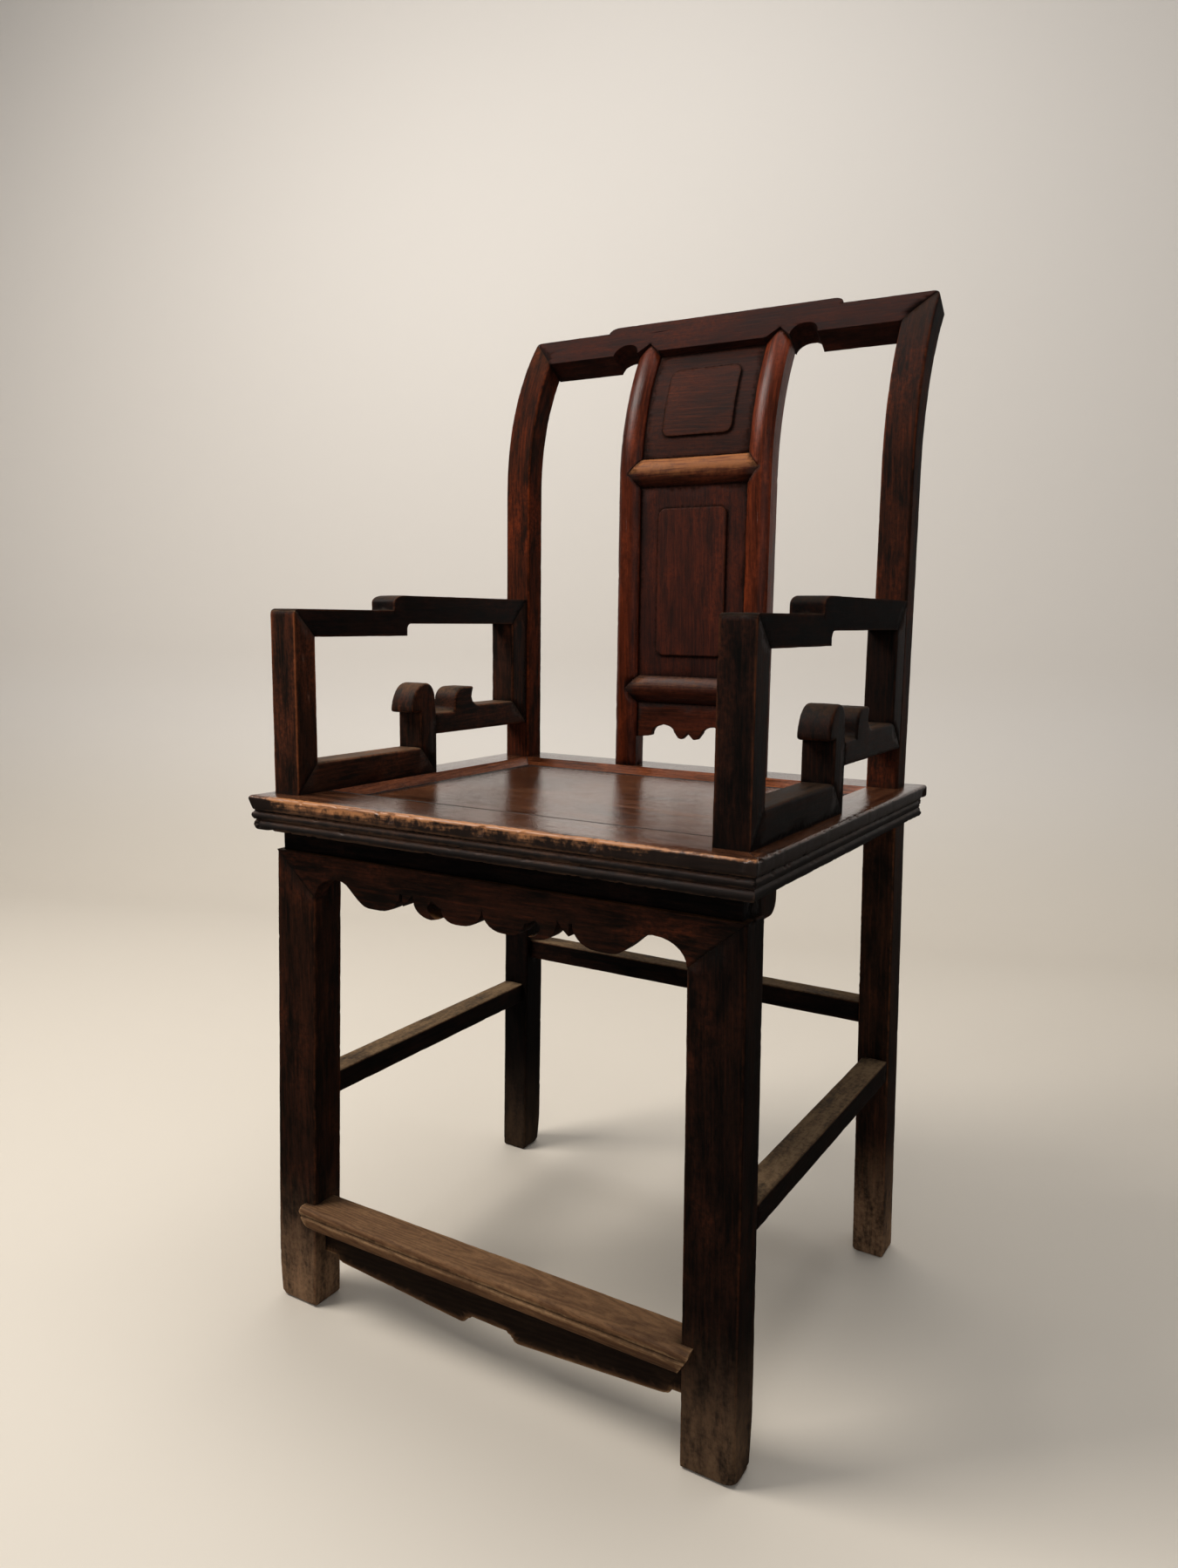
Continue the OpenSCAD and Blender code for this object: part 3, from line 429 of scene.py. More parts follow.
# %% [markdown]
# ## The chair's own sizes
# A few lengths of the solids are needed again: where the back starts to bend, and the
# section and mitres of the seat frame. They are in metres. The seat's middle lies a little
# in front of the origin, because the back leans out behind it.

# %% Sizes
SEAT_TOP, SEAT_THICK = 0.533, 0.035
HALF_W, HALF_D = 0.2675, 0.235
MID_Y = 0.02004
# each seat rail: the width of its flat top, and of the slope that leads down to the panel
FRONT_RAIL, BACK_RAIL, SIDE_RAIL = (0.064, 0.016), (0.058, 0.0145), (0.048, 0.012)
SLOPE_DROP = 0.008
EDGE_BAND = 0.015
LEG_X = 0.2515
POST_FRONT = 0.177 - MID_Y
POST_W, POST_D = 0.034, 0.030
BACK_H = 0.516
BEND_R, BEND_Z = 0.300, 0.860
BEND_Y = POST_FRONT + BEND_R
RAIL_H = 0.039
TOP_ANGLE = math.asin((SEAT_TOP + BACK_H - BEND_Z) / BEND_R)
MID_ANGLE = TOP_ANGLE - math.asin(RAIL_H / 2 / BEND_R)
print("the back's bend ends", round(math.degrees(TOP_ANGLE), 1), "degrees from upright")

# %% [markdown]
# ## Which way the grain runs
# A joiner cuts each bar with the grain along its length, where it is strongest. Projecting
# one pattern from outside would run straight through all of them. Here each point is
# given its place along its own board, and for the bent pieces the length is measured
# round the bend, so the point is first unrolled.

# %% Grain directions
HEART_LEAN = 0.035
RUNS = {
    "x": ["seat_rail_front", "seat_rail_back", "seat_panel", "waist_front", "apron_front", "footrest",
          "footrest_strip", "stretcher_back", "top_rail", "cross_rail_upper", "cross_rail_lower",
          "splat_skirt"],
    "y": ["seat_rail_left", "seat_rail_right", "batten_left", "batten_right", "stretcher_left",
          "stretcher_right", "arm_left_rail", "arm_right_rail", "arm_left_low_rail", "arm_right_low_rail",
          "arm_left_foot", "arm_right_foot"],
    "bend": ["post_left", "post_right", "splat_stile_left", "splat_stile_right", "panel_middle"],
    "across the bend": ["panel_upper"],
}
run_of = {name: run for run, names in RUNS.items() for name in names}


def unrolled(p):
    """Length up the back, then across, then depth behind the front face."""
    if p.z <= BEND_Z:
        return Vector((p.z, p.x, p.y - POST_FRONT))
    dy, dz = BEND_Y - p.y, p.z - BEND_Z
    return Vector((BEND_Z + BEND_R * math.atan2(dz, dy), p.x, BEND_R - math.hypot(dy, dz)))


def grain_at(p, run, pith, slope):
    """A point's place in the tree: along the board, across it and into it."""
    if run == "x":
        q = Vector((p.x, p.y, p.z))
    elif run == "y":
        q = Vector((p.y, p.x, p.z))
    elif run == "bend":
        q = unrolled(p)
    elif run == "across the bend":
        q = unrolled(p)
        q = Vector((q.y, q.x, q.z))
    else:
        q = Vector((p.z, p.x, p.y))
    # the tree's heart lies beside the board and not quite in line with it
    return Vector((q.x + pith.x, q.y + pith.y + HEART_LEAN * q.x, q.z + pith.z + slope * q.x))


print(sum(len(v) for v in RUNS.values()), "pieces do not stand upright")

# %% [markdown]
# ## Open arrises and closed joints
# An edge of a solid is either open to the hand or shut in a joint or a hollow corner.
# Only open ones wear round. Picking them by hand would take a day and would be lost with
# the next change. To tell them apart, the middle of each sharp edge is held against the
# solids next to it: within a millimetre of one, it is a joint. Boards that are let into a
# groove get twice that.

# %% Edge sorting
GAP = 0.0009
SHARP = math.radians(32)
POINT_STEP = 0.0015
SET_IN = ("panel_upper", "panel_middle", "splat_skirt", "seat_panel", "waist_front")


def solid_copy(name):
    """The solid as a clean mesh: doubles merged, flat faces in one."""
    bm = bmesh.new()
    bm.from_mesh(nodes[name].data)
    bmesh.ops.remove_doubles(bm, verts=bm.verts, dist=2e-6)
    bmesh.ops.dissolve_limit(bm, angle_limit=math.radians(0.6), verts=bm.verts, edges=bm.edges)
    return bm


def neighbours(name):
    """Search trees of the solids whose boxes touch this one's."""
    low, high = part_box(name)
    found = []
    for other in nodes:
        if other == name:
            continue
        a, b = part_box(other)
        if all(a[i] < high[i] + 0.001 and b[i] > low[i] - 0.001 for i in range(3)):
            bm = bmesh.new()
            bm.from_mesh(nodes[other].data)
            found.append(BVHTree.FromBMesh(bm))
            bm.free()
    return found


def touching(point, trees, gap):
    """True if a neighbour's surface is within the gap."""
    return any(tree.find_nearest(point, gap)[0] is not None for tree in trees)


def sort_edges(bm, trees, gap):
    """(open arrises, joint edges)"""
    loose, shut = [], []
    for edge in bm.edges:
        if len(edge.link_faces) != 2 or edge.calc_face_angle(0.0) < SHARP:
            continue
        a, b = edge.verts[0].co, edge.verts[1].co
        hollow = edge.calc_face_angle_signed() < 0
        if hollow or any(touching(a.lerp(b, t), trees, gap) for t in (0.5, 0.35)):
            shut.append(edge)
        else:
            loose.append(edge)
    return loose, shut


def scatter(edges):
    """Points along the edges, in a tree for finding the nearest."""
    points = []
    for edge in edges:
        a, b = edge.verts[0].co, edge.verts[1].co
        count = max(2, int((b - a).length / POINT_STEP) + 1)
        points += [a.lerp(b, i / (count - 1)) for i in range(count)]
    tree = kdtree.KDTree(max(1, len(points)))
    for i, p in enumerate(points):
        tree.insert(p, i)
    if not points:
        tree.insert(Vector((9, 9, 9)), 0)
    tree.balance()
    return tree


print("edges within", GAP * 1000, "mm of a neighbour count as joints")

# %% [markdown]
# ## From crisp solid to handled wood
# The arrises are rounded with a bevel, and the faces are cut finer towards them: small
# triangles where wear happens, large ones on plain flats. Subdividing everything evenly
# would need millions. Then each point near an arris is pushed inward by a slow noise, and
# here and there by a nick. Everything moves inward, so no piece grows past its solid.

# %% Refining
COARSE, ROUNDS = 0.022, 9
NICK_REACH, NICK_FROM = 0.007, 0.28
SLOW, QUICK = 45, 190


def triangulate(bm):
    """Splits whatever has more than three corners."""
    bmesh.ops.triangulate(bm, faces=[f for f in bm.faces if len(f.verts) > 3])


def refine(bm, open_tree, fine, foot=0.0):
    """Splits edges until they are short, and shorter still near an open arris or below a height."""
    for _ in range(ROUNDS):
        triangulate(bm)
        long_edges = []
        for edge in bm.edges:
            length = edge.calc_length()
            middle = (edge.verts[0].co + edge.verts[1].co) / 2
            least = fine / 2 if middle.z < foot else fine
            if length < least * 1.5:
                continue
            reach = open_tree.find(middle)[2]
            if length > 1.5 * min(COARSE, least + 0.8 * max(0.0, reach - 0.003)):
                long_edges.append(edge)
        if not long_edges:
            break
        bmesh.ops.subdivide_edges(bm, edges=long_edges, cuts=1)
    triangulate(bm)


def weather(bm, open_tree, seed, slack, nick):
    """Pushes the points near an open arris inward."""
    bm.normal_update()
    for v in bm.verts:
        near = max(0.0, 1.0 - open_tree.find(v.co)[2] / NICK_REACH)
        if near <= 0.0:
            continue
        slow = noise.noise(v.co * SLOW + Vector((seed, 0, 0)))
        quick = noise.noise(v.co * QUICK + Vector((0, seed, 0)))
        push = slack * near * (0.5 + slow) + nick * near * near * max(0.0, quick - NICK_FROM) * 2.2
        v.co -= v.normal * max(0.0, push)


print("edges from", COARSE * 1000, "mm on flats to a few millimetres at the arrises")

# %% [markdown]
# ## Chips on the seat's edge
# The moulded edge is the first thing that knocks against a table, and bits have broken
# off it at the corners. They could be cut with small solids, but a clean cut looks sawn.
# Pushing the points inward round a dozen places, with a ragged rim, looks broken.

# %% Chips
CHIPS = [  # where, how wide, how deep
    ((0.2675, -0.247, 0.533), 0.0055, 0.0026), ((0.2675, -0.229, 0.5335), 0.004, 0.002),
    ((0.2670, -0.212, 0.533), 0.0035, 0.0016), ((0.2560, -0.255, 0.534), 0.005, 0.0022),
    ((0.1260, -0.255, 0.530), 0.0045, 0.0022), ((0.0150, -0.255, 0.528), 0.004, 0.0018),
    ((-0.0850, -0.255, 0.529), 0.0045, 0.0020), ((0.2675, -0.255, 0.512), 0.005, 0.0025),
    ((0.2675, 0.205, 0.517), 0.010, 0.0045), ((0.2675, 0.214, 0.508), 0.009, 0.0045),
    ((-0.2675, -0.255, 0.520), 0.006, 0.0028), ((-0.2600, -0.255, 0.503), 0.006, 0.0024),
]
SIDE_FROM, BACK_FROM = 0.26, 0.2
RIM_RAGGED, RIM_SCALE = 0.45, 420


def inward_from(centre):
    """The level direction into the seat from a place on its edge."""
    on_side = abs(centre.x) > SIDE_FROM
    if on_side and centre.y < BACK_FROM:
        return Vector((-centre.x, -centre.y, 0)).normalized()
    if on_side:
        return Vector((-math.copysign(1, centre.x), 0, 0))
    return Vector((0, -math.copysign(1, centre.y), 0))


def chip(bm):
    """Small broken places on the seat's edge, with a ragged rim."""
    bm.normal_update()
    for where, wide, deep in CHIPS:
        centre = Vector(where)
        inward = inward_from(centre)
        for v in bm.verts:
            away = (v.co - centre).length
            if away > wide * 1.6:
                continue
            rim = wide * (1.0 + RIM_RAGGED * noise.noise(v.co * RIM_SCALE))
            if away < rim:
                v.co += inward * deep * (1.0 - (away / rim) ** 3)


print(len(CHIPS), "chips, the widest", 2000 * max(wide for _, wide, _ in CHIPS), "mm")

# %% [markdown]
# ## Trodden feet
# The legs carry the chair wherever it is dragged, so their corners are round at the foot
# and sharper higher up. A bevel has one width along an edge. So the points are moved one
# by one: each is pulled into a rounded square whose corners grow towards the foot.

# %% Trodden feet
FOOT_REACH, FOOT_RADIUS, UPPER_RADIUS, HEEL = 0.055, 0.0105, 0.003, 0.006


def corner_lines(bm):
    """The four long arrises of a leg, as a foot point and a slope."""
    lines = []
    for v in bm.verts:
        if v.co.z > 0.0002:
            continue
        for edge in v.link_edges:
            rise = edge.other_vert(v).co - v.co
            if rise.z > 0.02:
                lines.append((v.co.copy(), rise / rise.z))
    return lines


def round_foot(bm, lines):
    """Rounds a leg's corners more and more towards its foot, and its lowest rim."""
    for v in bm.verts:
        z = v.co.z
        if z > FOOT_REACH:
            continue
        at = [p + slope * z for p, slope in lines]
        middle = sum(at, Vector()) / len(at)
        inset = HEEL - math.sqrt(max(0.0, HEEL * HEEL - max(0.0, HEEL - z) ** 2))
        r = UPPER_RADIUS + (FOOT_RADIUS - UPPER_RADIUS) * (1.0 - z / FOOT_REACH) ** 1.5
        half = [max(abs(q[i] - middle[i]) for q in at) - inset for i in (0, 1)]
        way = [v.co[i] - middle[i] for i in (0, 1)]
        size = [min(abs(way[i]), half[i]) for i in (0, 1)]
        past = [size[i] - (half[i] - r) for i in (0, 1)]
        if min(past) > 0 and math.hypot(*past) > r:
            shrink = r / math.hypot(*past)
            size = [half[i] - r + past[i] * shrink for i in (0, 1)]
        for i in (0, 1):
            v.co[i] = middle[i] + math.copysign(size[i], way[i])


print("the lowest", FOOT_REACH * 1000, "mm of each leg are rounded")

# %% [markdown]
# ## The tone of each board
# No two boards of an old chair have the same colour: some were cut from the heart, some
# have been replaced, and each was touched and lit in its own way. Part of the tones is
# painted light: the front leg, the arm, its rail and the post on the left are set lighter
# than their twins on the right, as if lit from the left, and the strip under the footrest
# is darkened as a painted shadow of the footrest's nose. A material for every board would
# be forty-two to keep. Four short tables hold the differences instead, and a name is
# looked up by its longest matching beginning.

# %% Tables of tone
# painted light: the left front leg, arm, arm rail and post are set lighter than the right ones, and
# footrest_strip is set dark as a painted shadow under the footrest's nose
TONES_AND_PAINTED_LIGHT = {
    "footrest_strip": 0.14, "waist_front": 0.35, "apron": 1.2,
    "leg_front_left": 1.2, "leg_front_right": 0.62, "leg_back_right": 1.5, "leg_back_left": 0.22,
    "arm_left": 1.9, "arm_left_foot": 2.4, "arm_left_rail": 0.6, "arm_right": 0.66, "arm_right_rail": 0.32,
    "post_left": 3.0, "post_right": 1.95, "top_rail": 0.50, "splat_stile_left": 1.4,
    "splat_stile_right": 1.95, "cross_rail_lower": 0.64, "panel_upper": 0.72, "panel_middle": 0.86,
}
HUES = {
    "leg_front": (1.02, 0.93, 0.72), "leg_back_right": (0.95, 1.05, 0.98), "stretcher": (0.94, 1.0, 1.02),
    "apron": (1.1, 0.88, 0.60), "post": (1.0, 0.80, 0.66), "post_left": (1.08, 0.70, 0.50),
    "top_rail": (1.0, 0.82, 0.62), "splat_stile": (1.1, 0.90, 0.70), "splat_skirt": (1.05, 1.0, 0.9),
    "cross_rail": (1.02, 0.94, 0.80), "panel_upper": (1.02, 1.0, 0.90), "panel_middle": (1.02, 0.80, 0.58),
}
SCUFFED_HUE, SLOPE_HUE = (0.97, 0.95, 0.99), (1.18, 0.90, 0.72)
MATT = {
    "post": 0.12, "post_left": 0.32, "top_rail": 0.42, "splat_stile": -0.10, "panel_upper": 0.34,
    "panel_middle": 0.26, "arm_right_rail": 0.25,
}
RUBBED = {
    "apron": 0.55, "waist": 0.2, "top_rail": 0.6, "splat_stile": 0.3, "splat_skirt": 0.2, "panel": 0.7,
    "cross_rail_upper": 0.5, "cross_rail_lower": 0.36,
}


def longest(table, name, default):
    """The entry whose key is the longest beginning of the name."""
    return max(((len(k), v) for k, v in table.items() if name.startswith(k)), default=(0, default))[1]


print("the left post is", longest(TONES_AND_PAINTED_LIGHT, "post_left", 1.0), "times as light as plain wood")

# %% [markdown]
# ## Rubbed and grimy
# Wear and grime follow from distances: to the nearest open arris and to the nearest joint.
# Some pieces have a pattern of their own. Legs rub the front edge of the seat, and backs
# polish the round rails of the splat. Each rule is a line or two over the piece's points,
# which is easier to change than a painted mask.

# %% Wear and grime
JOINT_REACH, RAIL_JOINT_REACH = 0.006, 0.002


def share_between(value, low, high):
    """0 at low, 1 at high, straight in between."""
    return min(1.0, max(0.0, (value - low) / (high - low)))


def inward_of(name, p):
    """How far a point of a seat rail lies in from its outer edge."""
    if name in ("seat_rail_left", "seat_rail_right"):
        return HALF_W - abs(p.x)
    return HALF_D - abs(p.y + MID_Y)


def rub_round_seat(p):
    """Legs rub the front edge most, and its left half more than its right."""
    front = share_between(HALF_D + p.y + MID_Y, 0.020, 0.008)
    along_front = 1.14 - 0.28 * max(0.0, (p.x + 0.05) / 0.32)
    # nobody's leg reaches the left corner
    along_front *= 0.45 + 0.55 * min(1.0, (p.x + HALF_W) / 0.045)
    return max(front * along_front, 0.75 if p.x < 0 else 0.62)


def wear_of(name, bm, open_tree, worn_reach):
    """How far each point is rubbed."""
    rubbed = longest(RUBBED, name, 1.0)
    worn = []
    for v in bm.verts:
        share = rubbed * max(0.0, 1.0 - open_tree.find(v.co)[2] / worn_reach)
        if name in rail_meshes:
            share *= rub_round_seat(v.co)
        elif name.startswith("cross_rail") and v.normal.y < 0.8:
            # the tops of the two round rails are rubbed to a golden brown, their flat backs are not
            share = max(share, 2 * rubbed * min(0.95, 0.76 + 0.8 * v.normal.z))
        worn.append(share)
    return worn


def grime_and_crease_shade_of(name, bm, joint_tree):
    """How near each point is to a joint, and a painted shade line along the front rail's crease."""
    reach = RAIL_JOINT_REACH if name in rail_meshes else JOINT_REACH
    snug = [max(0.0, 1.0 - joint_tree.find(v.co)[2] / reach) for v in bm.verts]
    if name == "seat_rail_front":
        # a dark line of painted shade lies along the crease between the front rail's flat and its slope,
        # where the slope turns away
        for i, v in enumerate(bm.verts):
            if abs(inward_of(name, v.co) - FRONT_RAIL[0]) < 0.0008:
                snug[i] = 1.6
    return snug


print("joints hold grime up to", JOINT_REACH * 1000, "mm away")

# %% [markdown]
# ## Light and dark within a board
# One tone for a whole board looks like plastic. The posts are lightest where hands and
# shoulders reach, and the panels on their polished fields. The stretchers are painted
# lighter on top and darker on their flanks, and the round cross rails lighter on top and
# darker underneath, as painted light and shade from above. The slope down to the seat
# panel is redder than the rest. An image could carry all this, but it would need
# unwrapping first, and the points are there already.

# %% Shade
SLOPE_LIGHT, BEAD_LIGHT = 1.9, 0.6


def tones_with_painted_light_of(name, bm, tone, worn):
    """How light each point is."""
    # painted light and shade: the round rails are lighter where they face up and darker underneath
    if name.startswith("cross_rail"):
        return [tone * (1.1 + 0.35 * v.normal.z) for v in bm.verts]
    if name.startswith("post"):
        # handled most at shoulder height, darker up by the corner
        return [tone * (1.0 - 0.5 * share_between(v.co.z, 0.93, 1.02)) for v in bm.verts]
    # painted light and shade: the tops are lighter and the flanks darker, as if lit from above
    if name.startswith("stretcher"):
        return [tone * (0.55 + 0.55 * max(0.0, v.normal.z)) for v in bm.verts]
    if name == "footrest_strip":
        return [tone + 0.95 * share for share in worn]
    if name == "footrest":
        return [tone * (1.0 - 0.3 * share_between(v.co.x, 0.06, 0.23)) for v in bm.verts]
    if name.startswith("panel"):
        # the field stands proud and is polished, the ground round it is darker
        sunk = [unrolled(v.co).z for v in bm.verts]
        proud = min(sunk)
        return [tone * (1.12 - 0.34 * min(1.0, (depth - proud) / 0.002)) for depth in sunk]
    return [tone] * len(bm.verts)


def shade_rail(name, bm, tones, hues, dullness):
    """The slope down to the sunk panel is rubbed red, the two beads are dark and dull."""
    slope_start = RAILS[name][1][0] + (0.003 if name == "seat_rail_front" else -0.001)
    for i, v in enumerate(bm.verts):
        if v.co.z > SEAT_TOP - SLOPE_DROP - 0.0005 and inward_of(name, v.co) > slope_start:
            tones[i] *= SLOPE_LIGHT
            hues[i] = SLOPE_HUE
        elif v.co.z < SEAT_TOP - EDGE_BAND + 0.0005:
            tones[i] *= BEAD_LIGHT
            dullness[i] = 0.30


print("the slope is", SLOPE_LIGHT, "times as light as the flat, the beads", BEAD_LIGHT, "times")

# %% [markdown]
# ## Dressing a piece
# The finished mesh takes its attributes, its finish and even shading, and then stands in
# for the solid. Averaged normals alone would make a flat face look swollen near its rounded
# arrises. Weighing them by area keeps the flats flat. Blender does that in a modifier, and
# the result is kept in the mesh itself.

# %% Dressing a piece
def carry(mesh, name, values):
    """Gives each point of the mesh an attribute of one number or three."""
    three = len(values) == 3 * len(mesh.vertices)
    attribute = mesh.attributes.new(name, "FLOAT_VECTOR" if three else "FLOAT", "POINT")
    attribute.data.foreach_set("vector" if three else "value", values)


def heart_beside(name, seed):
    """Where the tree's heart lies, seen from the board, and how the rings slope along it."""
    if name == "footrest":
        # cut close over the heart, so its top shows pointed arches
        low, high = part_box(name)
        return Vector((0.3, -low.y - 0.026, 0.012 - high.z)), 0.085
    return Vector((seed * 0.37, 0.055 + 0.0011 * (seed % 31), 0.04 + 0.0013 * (seed % 23))), -0.02


def dress(name, bm, open_tree, joint_tree, run, worn_reach):
    """Turns the mesh into a piece with its attributes and finish."""
    seed = sum(ord(c) * (i + 3) for i, c in enumerate(name)) % 97
    mesh = bpy.data.meshes.new(name + "_wood")
    for face in bm.faces:
        face.smooth = True
    bm.to_mesh(mesh)
    pith, slope = heart_beside(name, seed)
    carry(mesh, "grain", [part for v in bm.verts for part in grain_at(v.co, run, pith, slope)])
    worn = wear_of(name, bm, open_tree, worn_reach)
    carry(mesh, "worn", worn)
    carry(mesh, "snug", grime_and_crease_shade_of(name, bm, joint_tree))
    tone = longest(TONES_AND_PAINTED_LIGHT, name, 1.0) * (0.94 + 0.12 * ((seed * 0.6180339) % 1.0))
    tones = tones_with_painted_light_of(name, bm, tone, worn)
    hues = [longest(HUES, name, (1.0, 1.0, 1.0))] * len(bm.verts)
    dullness = [longest(MATT, name, 0.0)] * len(bm.verts)
    if name in rail_meshes:
        shade_rail(name, bm, tones, hues, dullness)
    # the scuffed feet are grey-brown on every leg
    greyed = [share_between(v.co.z, 0.19, 0.08) if name.startswith("leg") else 0.0 for v in bm.verts]
    # tone: the board's own depth and hue, with painted light and shade on some boards
    carry(mesh, "tone", [light * (part + (plain - part) * grey)
                         for light, hue, grey in zip(tones, hues, greyed)
                         for part, plain in zip(hue, SCUFFED_HUE)])
    carry(mesh, "matt", dullness)
    # the slope of the seat rails starts at a crisp line, the other bends up to 38 degrees are round
    mesh.set_sharp_from_angle(angle=math.radians(25 if name in rail_meshes else 38))
    mesh.materials.append(finishes[slot_of[name]])
    piece = bpy.data.objects.new(name + "_wood", mesh)
    bpy.context.scene.collection.objects.link(piece)
    shading = piece.modifiers.new("even shading", "WEIGHTED_NORMAL")
    shading.mode, shading.keep_sharp, shading.weight = "FACE_AREA", True, 70
    return piece


def settle(piece):
    """Keeps the evened shading in the mesh itself and hands the piece over."""
    drawn = bpy.context.evaluated_depsgraph_get()
    old = piece.data
    piece.data = bpy.data.meshes.new_from_object(piece.evaluated_get(drawn), preserve_all_data_layers=True,
                                                 depsgraph=drawn)
    piece.modifiers.clear()
    bpy.data.meshes.remove(old)
    name = piece.name.removesuffix("_wood")
    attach(piece, "root")
    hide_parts(name)


print("each piece carries grain, worn, snug, tone and matt")

# %% [markdown]
# ## Growing a mesh from a rule
# The seat rails and the bent posts each follow a rule, so node trees make them. Modelling
# them by hand would work too, but a tree has its sizes as named inputs, and one tree
# makes all four rails. Three helpers start a tree, end it, and turn its result into a
# plain mesh. A fourth works out the mesh's box.

# %% Node helpers for geometry
def new_tree(name, sizes):
    """An empty geometry tree with named number inputs and their starting values."""
    tree = bpy.data.node_groups.new(name, "GeometryNodeTree")
    tree.interface.new_socket("Geometry", in_out="INPUT", socket_type="NodeSocketGeometry")
    tree.interface.new_socket("Geometry", in_out="OUTPUT", socket_type="NodeSocketGeometry")
    for label, value in sizes.items():
        kind = {Vector: "NodeSocketVector", int: "NodeSocketInt", type(None): "NodeSocketObject"}.get(
            type(value), "NodeSocketFloat")
        socket = tree.interface.new_socket(label, in_out="INPUT", socket_type=kind)
        if value is not None:
            socket.default_value = value
    tree.interface.new_socket("Finish", in_out="INPUT", socket_type="NodeSocketMaterial")
    return tree, make(tree, "NodeGroupInput").outputs


def close_tree(tree, geometry, given):
    """Realize, give the finish, and end the tree."""
    real = make(tree, "GeometryNodeRealizeInstances", geometry).outputs[0]
    done = make(tree, "GeometryNodeSetMaterial", real, None, given["Finish"]).outputs[0]
    make(tree, "NodeGroupOutput", done)


def grown(name, tree, values):
    """Runs the tree with these values and returns the result as a plain bmesh."""
    carrier = bpy.data.objects.new(name, bpy.data.meshes.new(name))
    bpy.context.scene.collection.objects.link(carrier)
    modifier = carrier.modifiers.new("grow", "NODES")
    modifier.node_group = tree
    for item in tree.interface.items_tree:
        if item.item_type == "SOCKET" and item.in_out == "INPUT" and item.name in values:
            modifier[item.identifier] = values[item.name]
    evaluated = carrier.evaluated_get(bpy.context.evaluated_depsgraph_get())
    mesh = bpy.data.meshes.new_from_object(evaluated)
    bm = bmesh.new()
    bm.from_mesh(mesh)
    bpy.data.objects.remove(carrier)
    bpy.data.meshes.remove(mesh)
    bmesh.ops.remove_doubles(bm, verts=bm.verts, dist=1e-6)
    bmesh.ops.recalc_face_normals(bm, faces=bm.faces)
    return bm


def show_box(bm):
    """Works out the low and high corners of a grown mesh's box."""
    low, high = ([round(pick(v.co[i] for v in bm.verts), 4) for i in range(3)] for pick in (min, max))


print("helpers: new_tree, close_tree, grown, show_box")

# %% [markdown]
# ## The seat frame's moulding
# The four rails share one edge: a plain band with a worn upper arris, a groove and two
# beads, cut with a moulding plane. Bevels and loop cuts could imitate it, but one drawn
# outline is what the plane leaves, and it can be read off point by point.

# %% The section of the seat frame
def edge_section(width, lip):
    """The rail's outline: distance in from the edge, and height above its underside."""
    band, bead = SEAT_THICK - EDGE_BAND, 0.0085
    # the flat top, with a point near each end, and the rounded arris
    points = [(width, SEAT_THICK), (width - 0.005, SEAT_THICK), (0.012, SEAT_THICK),
              (0.0055, SEAT_THICK - 0.0003)]
    points += [(0.0033 - 0.0033 * math.sin(a), SEAT_THICK - 0.004 + 0.0034 * math.cos(a))
               for a in (math.radians(t) for t in (10, 30, 50, 70, 90))]
    # the foot of the band and the groove under it
    points += [(0.0, band + 0.0035), (0.0004, band + 0.0018), (0.0012, band + 0.0006), (0.002, band),
               (0.0032, band - 0.0002), (0.0032, band - 0.0009)]
    # two beads, each half an ellipse
    bead_top = band - 0.001
    for start, top, foot in ((0.004, bead_top, bead_top - bead), (0.006, bead_top - bead, 0.0)):
        points += [(start - (top - foot) / 4 * math.sin(math.radians(22.5 * i)), top + (foot - top) * i / 8)
                   for i in range(9)]
    # the slope down to the panel has a point close to its foot, so that grime stays a thin line there
    low = 0.88
    points += [(width + lip, 0.0), (width + lip, SEAT_THICK - SLOPE_DROP),
               (width + low * lip, SEAT_THICK - low * SLOPE_DROP)]
    return points


def section_curve(name, points):
    """The outline as a closed flat curve that a node tree can sweep."""
    data = bpy.data.curves.new(name, "CURVE")
    data.dimensions = "2D"
    spline = data.splines.new("POLY")
    spline.points.add(len(points) - 1)
    for point, (u, v) in zip(spline.points, points):
        point.co = (-u, -v, 0.0, 1.0)
    spline.use_cyclic_u = True
    made = bpy.data.objects.new(name, data)
    bpy.context.scene.collection.objects.link(made)
    return made


print(len(edge_section(*FRONT_RAIL)), "points in the front rail's section")

# %% [markdown]
# ## The mitred rail
# Each side of the seat is that section drawn along a straight board, with both ends
# sheared to the mitre. Cutting the ends with solids would leave rough joints in the
# moulding. In the tree the shift of a point grows with its distance in from the edge, so
# every line of the moulding meets its neighbour exactly in the corner.

# %% The mitred rail tree
rail_tree, given = new_tree("mitred rail", {
    "Length": 0.5, "Mitre Start": 1.0, "Mitre End": 1.0, "Steps": 60, "Turn": 0.0,
    "Shift": Vector((0, 0, 0)), "Section": None})
line = make(rail_tree, "GeometryNodeCurvePrimitiveLine", (-0.5, 0.0, 0.0), (0.5, 0.0, 0.0)).outputs[0]
line = make(rail_tree, "GeometryNodeResampleCurve", line, None, given["Steps"]).outputs[0]
section = make(rail_tree, "GeometryNodeObjectInfo", given["Section"]).outputs["Geometry"]
swept = make(rail_tree, "GeometryNodeCurveToMesh", line, section, None, True).outputs[0]

